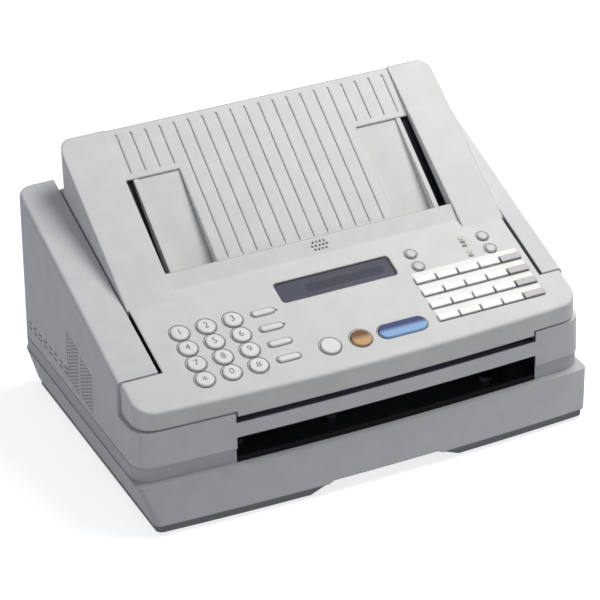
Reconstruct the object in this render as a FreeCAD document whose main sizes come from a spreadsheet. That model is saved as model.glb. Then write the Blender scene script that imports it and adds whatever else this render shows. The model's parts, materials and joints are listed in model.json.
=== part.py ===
"""Desktop fax machine with a roll of recording paper under a hinged top cover.

Millimetres, +Z up, X to the right, Y to the back.  The origin is on the surface that the machine
stands on, below the middle of its plan.  A "depth" is measured back from the housing's front face.
"""
import FreeCAD, Part
import Sketcher
import math
import os
from types import SimpleNamespace

DRIVING_SIZES = {
    # outside of the machine
    "body_width": 360.0, "body_depth": 233.0, "body_draft": 3.2, "wall": 2.6,
    "front_bow": 5.7, "front_corner": 15.0, "base_corner": 5.0, "back_corner": 12.0, "front_wall": 9.0,
    "base_reach": 16.0, "ledge_reach": 5.0, "ledge_overhang": 1.0, "base_taper": 6.3,
    "band_setback": 1.5, "seam_gap": 0.8,
    # heights above the table
    "foot_height": 2.0, "plinth_height": 8.0, "slab_height": 35.0, "seam_height": 47.0,
    "split_height": 76.0, "panel_height": 89.7, "shelf_height": 143.0,
    "plinth_inset": 1.5, "foot_radius": 9.0, "foot_margin": 24.0,
    # slopes of the top
    "panel_tilt": 18.8, "tray_tilt": 33.0,
    # hinged cover
    "cover_left": 147.0, "cover_right": 162.0, "cover_gap": 1.3, "panel_gap": 1.5, "wing_depth": 38.0,
    "wing_inset": 3.3, "panel_edge": 2.4, "flank_edge": 3.0, "plate": 2.5, "skirt_depth": 24.0,
    "hinge_depth": 219.0, "hinge_height": 152.0, "hinge_radius": 2.5, "hinge_ear": 6.0,
    "pin_length": 11.0, "run_gap": 0.06,
    # document tray
    "tray_start": 96.0, "tray_back": 221.0, "document_centre": 9.5, "tray_half_width": 117.0,
    "floor_drop_back": 0.8, "floor_drop_mouth": 9.6, "tray_floor": 3.0, "tray_corner": 10.0,
    "lip_start": 104.0, "lip_depth": 115.0, "lip_rise": 5.0,
    "groove_pitch": 11.6, "groove_width": 1.5, "groove_depth": 0.7, "groove_margin": 5.0,
    "groove_stop": 9.0,
    # sliding document guides and the racks below them
    "pocket_width": 44.0, "pocket_length": 87.0, "pocket_start": 1.0,
    "pocket_shallow": 3.6, "pocket_deep": 11.0, "guide_travel": 6.5, "guide_wall": 3.6,
    "guide_plate": 2.0, "slide_gap": 0.35, "rack_width": 4.5, "rack_thickness": 2.2,
    "rack_drop": 15.0, "pinion_place": 50.0, "guide_post": 4.0, "post_inset": 10.0,
    "rack_overrun": 14.0, "guide_teeth": 14.0, "tooth_module": 1.0, "pinion_pin": 2.0,
    # slots in the front
    "slot_left": 104.0, "slot_right": 138.0, "print_slot_bottom": 38.7, "print_slot_top": 56.0,
    "exit_slot_bottom": 67.7, "exit_slot_top": 73.0,
    # finger grip under the front edge
    "grip_left": 55.0, "grip_right": 65.0, "grip_slant": 18.0, "grip_top": 9.7, "grip_depth": 22.0,
    # keys, placed up the slope of the panel
    "key_left": -118.3, "key_pitch": 20.8, "key_top": 69.2, "key_row": 15.43, "key_radius": 6.6,
    "function_x": -53.0, "function_length": 17.0, "function_width": 5.2,
    "action_row": 23.3, "copy_x": -20.0, "copy_radius": 7.3, "stop_x": 4.4, "stop_radius": 7.6,
    "start_x": 38.0, "start_length": 38.0, "start_width": 13.0,
    "mode_left": 76.0, "mode_right": 136.2, "mode_top": 88.0, "mode_bottom": 74.6,
    "mode_radius": 3.8,
    "touch_left": 67.0, "touch_pitch": 17.75, "touch_width": 16.0, "touch_front": 20.2,
    "touch_row": 12.9, "touch_depth": 5.4, "touch_flange": 0.5,
    "label_depth": 4.6, "label_thickness": 0.3,
    "key_rise": 1.6, "key_gap": 0.4, "key_flange": 1.0, "key_flange_thickness": 1.0,
    "key_hang": 0.3, "key_travel": 1.2, "key_edge": 0.6,
    # display, lamps and the electronics behind the panel
    "display_left": -35.0, "display_right": 58.8, "display_front": 72.6, "display_back": 93.0,
    "display_corner": 3.2, "window_sink": 0.5, "window_flange": 1.5, "window_flange_thickness": 0.9,
    "display_thickness": 3.4, "display_margin": 3.0,
    "lamp_x": 119.2, "lamp_length": 3.2, "lamp_width": 1.8, "lamp_gap": 0.2, "lamp_rise": 0.3,
    "mat_thickness": 0.8, "mat_inset": 2.0, "board_thickness": 1.6, "board_front": 10.0,
    "board_back": 96.0, "board_left": 134.0, "board_right": 157.0, "post_radius": 2.0,
    "post_left": -129.0, "post_low": 15.5, "post_high": 66.0, "post_right": 98.0,
    "post_right_place": 83.0,
    "sounder_length": 18.0, "sounder_width": 9.0, "sounder_thickness": 1.0, "sounder_x": 14.0,
    "sound_hole": 0.8, "sound_pitch": 3.0,
    # document path below the panel
    "guide_front_height": 69.5, "guide_back_height": 106.0, "guide_back_depth": 90.0,
    "upper_front_height": 77.8, "upper_back_height": 110.2, "upper_end": 88.0,
    "guide_sheet": 2.0, "upper_sheet": 1.6, "path_play": 1.0,
    "pad_length": 14.0, "pad_width": 40.0, "pad_clearance": 0.4,
    # rollers, their gears and the motor
    "gear_teeth": 24.0, "gear_width": 6.0, "gear_gap": 2.0,
    "exit_depth": 47.0, "exit_radius": 7.0, "exit_proud": 1.2, "feed_radius": 8.5,
    "platen_radius": 8.0, "exit_to_motor": -12.0, "motor_to_feed": 59.0, "exit_to_platen": 244.0,
    "shaft_radius": 3.0, "bush_radius": 4.6, "roller_play": 2.0, "shaft_end": 2.0,
    "ring_width": 24.0, "ring_spacing": 70.0, "feed_width": 50.0, "roller_gap": 1.5,
    "motor_radius": 17.0, "motor_length": 22.0, "motor_shaft": 2.0, "shaft_depth": 8.0,
    "bracket_thickness": 2.0, "bracket_front": 50.0, "bracket_back": 96.0, "bracket_low": 54.0,
    "bracket_high": 92.0, "bracket_post": 3.0,
    # inner frame and printer
    "frame_left": 105.0, "frame_right": 138.0, "frame_plate": 3.0, "frame_front": 11.0,
    "frame_back": 212.0, "frame_top": 106.0, "frame_nose": 80.0, "frame_floor": 2.0,
    "frame_step": 52.0, "stand_back": 36.0,
    "head_bar": 2.0, "head_drop": 7.8, "head_width": 20.0, "head_height": 5.0, "head_play": 3.0,
    "head_gap": 0.3, "spring_width": 14.0, "spring_sheet": 0.5, "spring_offset": 70.0,
    "spring_reach": 8.0, "spring_crown": 1.5,
    "roll_depth": 166.0, "roll_height": 92.0, "roll_radius": 36.0, "core_radius": 12.0,
    "roll_play": 13.0, "trough_gap": 0.8, "trough_wall": 2.0, "trough_half_angle": 70.0,
    "tear_height": 6.0, "tear_thickness": 1.2, "tear_rise": 2.0, "tear_gap": 0.8,
    "sensor_width": 15.0, "sensor_height": 10.0, "sensor_depth": 21.0, "sensor_play": 8.0,
    # electronics in the base
    "boss_height": 14.0, "boss_radius": 4.0, "stand_radius": 5.0,
    "main_left": 84.0, "main_right": 8.0, "main_front": 60.0, "main_setback": 11.0,
    "supply_left": 24.0, "supply_right": 116.0, "supply_front": 112.0, "supply_setback": 19.0,
    "supply_height": 38.0, "supply_wall": 1.2,
    "inlet_x": 90.0, "inlet_width": 28.0, "inlet_height": 20.0, "inlet_bottom": 14.0,
    "jack_x": -78.0, "jack_pitch": 24.0, "jack_width": 14.0, "jack_height": 13.0,
    "socket_depth": 16.0, "socket_gap": 0.3, "socket_well": 11.0,
    # vents in the left wall
    "vent_start": 137.0, "vent_pitch": 10.6, "vent_length": 6.0, "vent_height": 1.5,
    "vent_low": 56.7, "vent_row": 4.3,
}
VENT_COUNT = 9
GROOVE_COUNT = 20
LONG_GROOVES = 12
TOUCH_ROWS = 4
TOUCH_COLUMNS = 5
NUMBER_KEYS = (("1", "2", "3"), ("4", "5", "6"), ("7", "8", "9"), ("star", "0", "hash"))
LAMP_PLACES = (91.2, 87.6, 83.7, 76.8, 73.0)
RACK_GAPS = 13
NOTHING = 0.0


class Size:
    """A number together with the sheet formula that gives it."""

    def __init__(self, value, text):
        self.value = value
        self.text = text

    def __add__(self, other):
        return joined(self, "+", other, self.value + number(other))

    def __radd__(self, other):
        return joined(other, "+", self, number(other) + self.value)

    def __sub__(self, other):
        return joined(self, "-", other, self.value - number(other))

    def __rsub__(self, other):
        return joined(other, "-", self, number(other) - self.value)

    def __mul__(self, other):
        return joined(self, "*", other, self.value * number(other))

    def __rmul__(self, other):
        return joined(other, "*", self, number(other) * self.value)

    def __truediv__(self, other):
        return joined(self, "/", other, self.value / number(other))

    def __rtruediv__(self, other):
        return joined(other, "/", self, number(other) / self.value)

    def __neg__(self):
        return joined(0, "-", self, -self.value)


def number(amount):
    return amount.value if isinstance(amount, Size) else float(amount)


def formula(amount):
    return amount.text if isinstance(amount, Size) else repr(float(amount))


def joined(first, sign, second, value):
    return Size(value, "(%s %s %s)" % (formula(first), sign, formula(second)))


def sine(angle):
    return Size(math.sin(math.radians(number(angle))), "sin(%s)" % formula(angle))


def cosine(angle):
    return Size(math.cos(math.radians(number(angle))), "cos(%s)" % formula(angle))


def tangent(angle):
    return Size(math.tan(math.radians(number(angle))), "tan(%s)" % formula(angle))


def root(amount):
    return Size(math.sqrt(number(amount)), "sqrt(%s)" % formula(amount))


doc = FreeCAD.newDocument("fax_machine")
sheet = doc.addObject("Spreadsheet::Sheet", "Sizes")
sheet_rows = []


def new_cell(name, text):
    sheet_rows.append(name)
    sheet.set("A%d" % len(sheet_rows), name)
    sheet.set("B%d" % len(sheet_rows), text)
    sheet.setAlias("B%d" % len(sheet_rows), name)


def derived(name, amount):
    """Keep a derived size in a cell of its own, so that the formulas that use it stay short."""
    new_cell(name, "=" + amount.text.replace("Sizes.", ""))
    return Size(amount.value, "Sizes." + name)


def derived_angle(name, slope):
    new_cell(name, "=atan(%s) / 1deg" % slope.text.replace("Sizes.", ""))
    return Size(math.degrees(math.atan(slope.value)), "Sizes." + name)


for key, amount in DRIVING_SIZES.items():
    new_cell(key, str(amount))
size = SimpleNamespace(**{key: Size(amount, "Sizes." + key) for key, amount in DRIVING_SIZES.items()})
bodies = []

front = derived("front_place", (size.base_reach - size.body_depth) / 2)
half_body = derived("half_body", size.body_width / 2)
half_top = derived("half_top", half_body - size.body_draft)
half_ledge = derived("half_ledge", half_body + size.ledge_overhang)
half_bottom = derived("half_bottom", half_body - size.base_taper)
cover_left = derived("cover_left_side", size.cover_gap - size.cover_left)
cover_right = derived("cover_right_side", size.cover_right - size.cover_gap)
wing_half = derived("wing_half", half_body - size.wing_inset)
cover_bottom = derived("cover_bottom", size.split_height + size.cover_gap)
panel_slope = derived("panel_slope", tangent(size.panel_tilt))
tray_slope = derived("tray_slope", tangent(size.tray_tilt))
tray_rise = derived("tray_rise", size.panel_height + size.tray_start * panel_slope)


def panel_line(depth):
    """Height of the sloping panel, and of the flanks beside it."""
    return size.panel_height + depth * panel_slope


def rail_line(depth):
    """Height of the rails at both sides of the document tray."""
    return tray_rise + (depth - size.tray_start) * tray_slope


floor_mouth = derived("floor_mouth", rail_line(size.lip_depth) - size.floor_drop_mouth)
floor_back = derived("floor_back", rail_line(size.tray_back) - size.floor_drop_back)
floor_slope = derived("floor_slope", (floor_back - floor_mouth) / (size.tray_back - size.lip_depth))
floor_tilt = derived_angle("floor_tilt", floor_slope)
floor_up = derived("floor_up", cosine(floor_tilt))
floor_out = derived("floor_out", sine(floor_tilt))


def floor_line(depth):
    """Height of the tray floor between the rails."""
    return floor_mouth + (depth - size.lip_depth) * floor_slope


guide_run = size.guide_back_depth - size.front_wall
guide_slope = derived("guide_slope", (size.guide_back_height - size.guide_front_height) / guide_run)
guide_tilt = derived_angle("guide_tilt", guide_slope)
upper_slope = derived("upper_slope", (size.upper_back_height - size.upper_front_height) / guide_run)
upper_tilt = derived_angle("upper_tilt", upper_slope)


def lower_guide(depth):
    """Height of the lower document guide, which leads to the exit slot."""
    return size.guide_front_height + (depth - size.front_wall) * guide_slope


def upper_guide(depth):
    """Height of the upper document guide, under the panel."""
    return size.upper_front_height + (depth - size.front_wall) * upper_slope


def polar(name, centre, angle, reach):
    """A depth and height reached from another one; the angle runs from the back upwards."""
    return (derived(name + "_depth_place", centre[0] + reach * cosine(angle)),
            derived(name + "_height_place", centre[1] + reach * sine(angle)))


panel_drop = derived("panel_drop", size.plate / cosine(size.panel_tilt))
tray_drop = derived("tray_drop", size.plate / cosine(size.tray_tilt))
floor_drop = derived("floor_drop", size.tray_floor / floor_up)
tray_left = derived("tray_left", size.document_centre - size.tray_half_width)
tray_right = derived("tray_right", size.document_centre + size.tray_half_width)
gear_radius = derived("gear_radius", size.gear_teeth * size.tooth_module / 2)
guide_pinion_radius = derived("guide_pinion_radius", size.guide_teeth * size.tooth_module / 2)
path_left, path_right = -size.frame_left, size.frame_right
exit_sink = (size.exit_radius - size.exit_proud) / cosine(guide_tilt)
exit_axis = (size.exit_depth, derived("exit_height", lower_guide(size.exit_depth) - exit_sink))
motor_axis = polar("motor", exit_axis, size.exit_to_motor, 2 * gear_radius)
feed_axis = polar("feed", motor_axis, size.motor_to_feed, 2 * gear_radius)
platen_axis = polar("platen", exit_axis, size.exit_to_platen, 2 * gear_radius)
roll_axis = (size.roll_depth, size.roll_height)
gear_right = derived("gear_right", -(size.frame_left + size.frame_plate + size.gear_gap))
gear_left = derived("gear_left", gear_right - size.gear_width)
bracket_right = derived("bracket_right", gear_left - size.gear_gap)
bracket_left = derived("bracket_left", bracket_right - size.bracket_thickness)
head_top = derived("head_top", platen_axis[1] - size.platen_radius - size.head_gap)
head_low = derived("head_low", head_top - size.head_height)
bar_top = derived("bar_top", head_top - size.head_drop)
bar_low = derived("bar_low", bar_top - size.head_bar)
frame_low = derived("frame_low", size.seam_height + size.frame_floor)
base_floor = derived("base_floor", size.foot_height + size.wall)
main_back = derived("main_back", size.body_depth - size.main_setback)
supply_back = derived("supply_back", size.body_depth - size.supply_setback)
panel_origin = (0, front, size.panel_height)
key_low = derived("key_low", -size.plate - size.key_hang - size.key_flange_thickness)
mat_top = derived("mat_top", key_low - size.key_travel - size.key_hang)
board_top = derived("board_top", mat_top - size.mat_thickness)
lip_run = derived("lip_run", size.lip_depth - size.lip_start)
lip_climb = derived("lip_climb", lip_run * panel_slope + size.lip_rise)
lip_tilt = derived_angle("lip_tilt", lip_climb / lip_run)
rack_low = derived("rack_low", -size.rack_drop)
rack_high = derived("rack_high", size.rack_thickness - size.rack_drop)
pocket_fall = derived("pocket_fall", (size.pocket_deep - size.pocket_shallow) / size.pocket_length)
doc.recompute()


def bind(target, path, amount):
    target.setExpression(path, formula(amount))


def new_body(label, place=(0, 0, 0), tilt=0):
    """A body at a place, turned about X by tilt."""
    body = doc.addObject("PartDesign::Body", label)
    body.Label = label
    body.Placement = placed(body, "Placement", place, tilt)
    bodies.append(body)
    return body


def placed(target, path, place, tilt):
    """A placement for the target, with its place and its turn about X bound to the sheet."""
    for axis, amount in zip("xyz", place):
        if isinstance(amount, Size):
            bind(target, "%s.Base.%s" % (path, axis), amount)
    if isinstance(tilt, Size):
        bind(target, path + ".Rotation.Angle", tilt)
    turn = FreeCAD.Rotation(FreeCAD.Vector(1, 0, 0), number(tilt))
    return FreeCAD.Placement(FreeCAD.Vector(*[number(amount) for amount in place]), turn)


def origin_feature(body, role):
    return next(feature for feature in body.Origin.OriginFeatures if feature.Role == role)


def new_sketch(body, role, shift=(0, 0, 0), tilt=0):
    """A sketch on one of the body's own origin planes, moved by shift and turned about X by tilt."""
    sketch = body.newObject("Sketcher::SketchObject", body.Name + "_sketch")
    sketch.AttachmentSupport = [(origin_feature(body, role), "")]
    sketch.MapMode = "FlatFace"
    sketch.AttachmentOffset = placed(sketch, "AttachmentOffset", shift, tilt)
    return sketch


def hold(sketch, rules):
    """Add constraints, given with their amounts, and bind those amounts to the sheet."""
    for index, (_, amount) in zip(sketch.addConstraint([rule for rule, _ in rules]), rules):
        if isinstance(amount, Size):
            bind(sketch, "Constraints[%d]" % index, amount)


def point_rules(edge, end, place):
    """Constraints that hold a point of an edge at a place, measured from the sketch's origin."""
    return [(Sketcher.Constraint(kind, -1, 1, edge, end, number(amount)), amount)
            for kind, amount in zip(("DistanceX", "DistanceY"), place)]


def bulging(start, end, radius, side):
    """An arc from start to end; side is 1 to bulge out of a counterclockwise outline, -1 into it."""
    chord = end - start
    outward = FreeCAD.Vector(chord.y, -chord.x, 0).normalize()
    rise = radius - math.sqrt(radius ** 2 - (chord.Length / 2) ** 2)
    return Part.Arc(start, (start + end) * 0.5 + outward * rise * side, end)


def outline(sketch, points, arcs=None, side=1):
    """A closed outline, run counterclockwise; arcs gives the radius of the edges that are round."""
    arcs = arcs or {}
    places = [FreeCAD.Vector(number(x), number(y), 0) for x, y in points]
    curves = []
    for index, start in enumerate(places):
        end = places[(index + 1) % len(places)]
        if index in arcs:
            curves.append(bulging(start, end, number(arcs[index]), side))
        else:
            curves.append(Part.LineSegment(start, end))
    edges = sketch.addGeometry(curves, False)
    ends = [(2, 1) if index in arcs and side < 0 else (1, 2) for index in range(len(edges))]
    rules = []
    for index, edge in enumerate(edges):
        after = (index + 1) % len(edges)
        meeting = Sketcher.Constraint("Coincident", edge, ends[index][1], edges[after], ends[after][0])
        rules.append((meeting, None))
        rules += point_rules(edge, ends[index][0], points[index])
    for index, radius in arcs.items():
        rules.append((Sketcher.Constraint("Radius", edges[index], number(radius)), radius))
    hold(sketch, rules)


def rectangle(sketch, left, low, right, high):
    outline(sketch, [(left, low), (right, low), (right, high), (left, high)])


def rounded(sketch, x, y, length, width, corner):
    """A rectangle about (x, y) with round corners."""
    left, right = x - length / 2, x + length / 2
    low, high = y - width / 2, y + width / 2
    points = [(left + corner, low), (right - corner, low), (right, low + corner),
              (right, high - corner), (right - corner, high), (left + corner, high),
              (left, high - corner), (left, low + corner)]
    outline(sketch, points, {1: corner, 3: corner, 5: corner, 7: corner})


def circle(sketch, x, y, radius):
    centre = FreeCAD.Vector(number(x), number(y), 0)
    ring = sketch.addGeometry(Part.Circle(centre, FreeCAD.Vector(0, 0, 1), number(radius)), False)
    rules = point_rules(ring, 3, (x, y))
    rules.append((Sketcher.Constraint("Radius", ring, number(radius)), radius))
    hold(sketch, rules)


def pad(body, sketch, length, kind="Pad"):
    """Material from the sketch along its normal; a pocket is turned to cut the same way."""
    feature = body.newObject("PartDesign::" + kind, body.Name + "_" + kind.lower())
    feature.Profile = sketch
    bind(feature, "Length", length)
    feature.Reversed = kind == "Pocket"
    return feature


def cut(body, sketch, length):
    return pad(body, sketch, length, "Pocket")


def repeat(body, feature, role, pitch, count):
    """Repeat a feature along one of the body's axes."""
    pattern = body.newObject("PartDesign::LinearPattern", body.Name + "_row")
    pattern.Originals = [feature]
    pattern.Direction = (origin_feature(body, role), [""])
    bind(pattern, "Length", pitch * (count - 1))
    pattern.Occurrences = count
    body.Tip = pattern


def side_sketch(body, points, left):
    """A profile seen from the right: each point is a depth from the front face and a height."""
    sketch = new_sketch(body, "YZ_Plane", (0, 0, left))
    outline(sketch, [(front + depth, height) for depth, height in points])
    return sketch


def pad_side(body, points, left, right):
    return pad(body, side_sketch(body, points, left), right - left)


def cut_side(body, points, left, right):
    return cut(body, side_sketch(body, points, left), right - left)


def round_cut(body, centre, radius, left, right):
    """A hole along X about a depth and height."""
    sketch = new_sketch(body, "YZ_Plane", (0, 0, left))
    circle(sketch, front + centre[0], centre[1], radius)
    return cut(body, sketch, right - left)


def front_cut(body, depth, length, draw):
    """Cut backwards from a depth; draw(sketch) makes the shape in X and Z."""
    sketch = new_sketch(body, "XZ_Plane", (0, 0, -(front + depth)))
    draw(sketch)
    cut(body, sketch, length).Reversed = False


def plan(body, low, high, draw, make=pad):
    """Pad or cut a plan shape between two heights."""
    sketch = new_sketch(body, "XY_Plane", (0, 0, low))
    draw(sketch)
    return make(body, sketch, high - low)


def bowed_corners(half, near, corner):
    """Points and radii of the plan's bowed front and of its two corners, from left to right."""
    bow_radius = (half * half + size.front_bow * size.front_bow) / (2 * size.front_bow)
    bend = half - corner
    bent = near + bow_radius - root(bow_radius * bow_radius - bend * bend)
    side = near + size.front_bow + corner
    return [(-bend, bent), (bend, bent), (half, side)], (-half, side), bow_radius, 1.06 * corner


def bowed_plan(half_width, front_depth, back_depth, inset=NOTHING, corner=size.front_corner):
    """Draws the machine's plan with its bowed front; inset moves every side in."""
    def draw(sketch):
        half = half_width - inset
        far = front + back_depth - inset
        back = size.back_corner
        first, last, bow, bend = bowed_corners(half, front + front_depth + inset, corner)
        points = first + [(half, far - back), (half - back, far), (back - half, far),
                          (-half, far - back), last]
        outline(sketch, points, {0: bow, 1: bend, 3: back, 5: back, 7: bend})
    return draw


def loft(body, low, low_draw, high, high_draw, kind="Additive"):
    """A drafted block between two plan shapes, added or taken away."""
    sketches = []
    for height, draw in ((low, low_draw), (high, high_draw)):
        sketch = new_sketch(body, "XY_Plane", (0, 0, height))
        draw(sketch)
        sketches.append(sketch)
    feature = body.newObject("PartDesign::%sLoft" % kind, body.Name + "_loft")
    feature.Profile = sketches[0]
    feature.Sections = [sketches[1]]
    feature.Ruled = True


def dress_edges(body, kind, amount, chosen):
    """Round or bevel those edges of the body for which chosen(edge) is true."""
    doc.recompute()
    base = body.Tip
    names = ["Edge%d" % (index + 1) for index, edge in enumerate(base.Shape.Edges) if chosen(edge)]
    feature = body.newObject("PartDesign::" + kind, body.Name + "_" + kind.lower())
    feature.Base = (base, names)
    bind(feature, "Size" if kind == "Chamfer" else "Radius", amount)


def along_panel(edge, reach, low, high):
    """Whether an edge lies on the panel's slope, out at the sides or at the front, between two depths."""
    for vertex in edge.Vertexes:
        depth = vertex.Y - number(front)
        on_slope = abs(vertex.Z - number(panel_line(depth))) < 0.01
        if not on_slope or not number(low) < depth < number(high):
            return False
    middle = edge.CenterOfMass
    curved = edge.Curve.TypeId != "Part::GeomLine"
    return curved or abs(middle.x) > number(reach)


def turned(body, radius, left, right, make=pad):
    """A round bar, or a bore, along the body's own X axis."""
    sketch = new_sketch(body, "YZ_Plane", (0, 0, left))
    circle(sketch, NOTHING, NOTHING, radius)
    return make(body, sketch, right - left)


def spur_gear(body, plane, axis, teeth, low, high):
    """Straight-flanked teeth, slack enough to turn freely; a gap lies on the plane's first axis."""
    unit = size.tooth_module
    pitch_radius = teeth * unit / 2
    tip, foot = pitch_radius + 0.9 * unit, pitch_radius - 1.25 * unit
    blank = new_sketch(body, plane, (0, 0, low))
    circle(blank, NOTHING, NOTHING, tip)
    pad(body, blank, high - low)
    sketch = new_sketch(body, plane, (0, 0, low - size.wall))
    outline(sketch, [(foot, -0.62 * unit), (tip + unit / 2, -1.4 * unit), (tip + unit / 2, 1.4 * unit),
                     (foot, 0.62 * unit)])
    gap = cut(body, sketch, high - low + 2 * size.wall)
    pattern = body.newObject("PartDesign::PolarPattern", body.Name + "_teeth")
    pattern.Originals = [gap]
    pattern.Axis = (origin_feature(body, axis), [""])
    pattern.Angle = 360
    bind(pattern, "Occurrences", teeth)
    body.Tip = pattern


def base_case():
    body = new_body("base_case")
    depth = size.body_depth
    plinth_half = half_bottom - size.plinth_inset
    plinth_back = depth - size.plinth_inset
    slab_floor = size.plinth_height + size.wall

    def slab(half, reach, back, inset=NOTHING):
        return bowed_plan(half, -reach, back, inset, size.base_corner)

    def band(inset):
        return bowed_plan(half_body, size.band_setback, depth, inset)

    plinth_reach = size.base_reach - size.plinth_inset
    loft(body, size.plinth_height, slab(half_bottom, size.base_reach, depth),
         size.slab_height, slab(half_ledge, size.ledge_reach, depth))
    plan(body, size.slab_height, size.seam_height - size.seam_gap, band(NOTHING))
    plan(body, size.slab_height, size.seam_height, band(size.wall / 2))
    plan(body, size.foot_height, size.plinth_height, slab(plinth_half, plinth_reach, plinth_back))
    loft(body, slab_floor, slab(half_bottom, size.base_reach, depth, size.wall),
         size.slab_height - size.wall, slab(half_ledge, size.ledge_reach, depth, size.wall), "Subtractive")
    plan(body, size.slab_height - 2 * size.wall, size.seam_height, band(size.wall), cut)
    plan(body, base_floor, slab_floor + size.wall,
         slab(plinth_half, plinth_reach, plinth_back, size.wall), cut)
    finger_grip(body)
    front_cut(body, -size.wall, size.front_wall + 2 * size.wall, lambda sketch: rectangle(
        sketch, -size.slot_left, size.print_slot_bottom, size.slot_right, size.seam_height + size.wall))
    front_cut(body, depth - 2 * size.wall, 3 * size.wall,
              lambda sketch: socket_frames(sketch, size.socket_gap))
    plan(body, base_floor - size.wall / 2, size.boss_height,
         lambda sketch: circles(sketch, board_corners(), size.boss_radius))
    plan(body, base_floor - size.wall / 2, size.seam_height,
         lambda sketch: circles(sketch, frame_corners(), size.stand_radius))


def finger_grip(body):
    """A walled recess under the front edge, for the fingers that lift the machine."""
    near = -size.base_reach
    plan(body, base_floor, size.grip_top + size.wall, lambda sketch: rectangle(
        sketch, -size.grip_left - size.wall, front + near + 2 * size.wall,
        size.grip_right + size.wall, front + near + size.grip_depth + size.wall))
    front_cut(body, near - size.wall, size.grip_depth + size.wall, lambda sketch: outline(sketch, [
        (-size.grip_left, NOTHING), (size.grip_right, NOTHING), (size.grip_right, size.foot_height),
        (size.grip_right - size.grip_slant, size.grip_top),
        (size.grip_slant - size.grip_left, size.grip_top), (-size.grip_left, size.foot_height)]))


def circles(sketch, places, radius):
    for x, y in places:
        circle(sketch, x, y, radius)


def board_corners():
    margin = 2 * size.boss_radius
    return [(x, front + depth) for x in (margin - size.main_left, size.main_right - margin)
            for depth in (size.main_front + margin, main_back - 3 * margin)]


def frame_corners():
    margin = 2 * size.stand_radius
    return [(x, front + depth) for x in (path_left + margin, path_right - margin)
            for depth in (size.frame_step + margin, size.frame_back - size.stand_back)]


def socket_frames(sketch, grow):
    """The outlines of the mains inlet and of the two line jacks, in X and Z."""
    half = size.inlet_width / 2
    rectangle(sketch, size.inlet_x - half - grow, size.inlet_bottom - grow, size.inlet_x + half + grow,
              size.inlet_bottom + size.inlet_height + grow)
    low = size.boss_height + size.board_thickness + size.socket_gap
    for index in range(2):
        left = size.jack_x + index * size.jack_pitch
        right, high = left + size.jack_width, low + size.jack_height
        rectangle(sketch, left - grow, low - grow, right + grow, high + grow)


def rear_sockets():
    """Mains inlet and two modular jacks, each a block with the well that a plug goes into."""
    body = new_body("rear_sockets")
    back = front + size.body_depth
    blocks = new_sketch(body, "XZ_Plane", (0, 0, size.socket_depth - back))
    socket_frames(blocks, NOTHING)
    pad(body, blocks, size.socket_depth).Reversed = True
    wells = new_sketch(body, "XZ_Plane", (0, 0, size.socket_well - back))
    socket_frames(wells, -size.wall / 2)
    cut(body, wells, size.socket_well).Reversed = False


def rubber_feet():
    body = new_body("rubber_feet")
    across = half_bottom - size.plinth_inset - size.foot_margin
    places = [(x, front + depth) for x in (-across, across)
              for depth in (size.foot_margin - size.plinth_inset, size.body_depth - size.foot_margin)]
    plan(body, NOTHING, size.foot_height, lambda sketch: circles(sketch, places, size.foot_radius))


def main_board():
    body = new_body("main_board")
    plan(body, size.boss_height, size.boss_height + size.board_thickness, lambda sketch: rectangle(
        sketch, -size.main_left, front + size.main_front, size.main_right, front + main_back))


def power_supply():
    """Screening can over the power supply, open below."""
    body = new_body("power_supply")
    for inset, high, make in ((NOTHING, size.supply_height, pad),
                              (size.supply_wall, size.supply_height - size.supply_wall, cut)):
        plan(body, base_floor, high, lambda sketch: rectangle(
            sketch, size.supply_left + inset, front + size.supply_front + inset,
            size.supply_right - inset, front + supply_back - inset), make)


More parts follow.
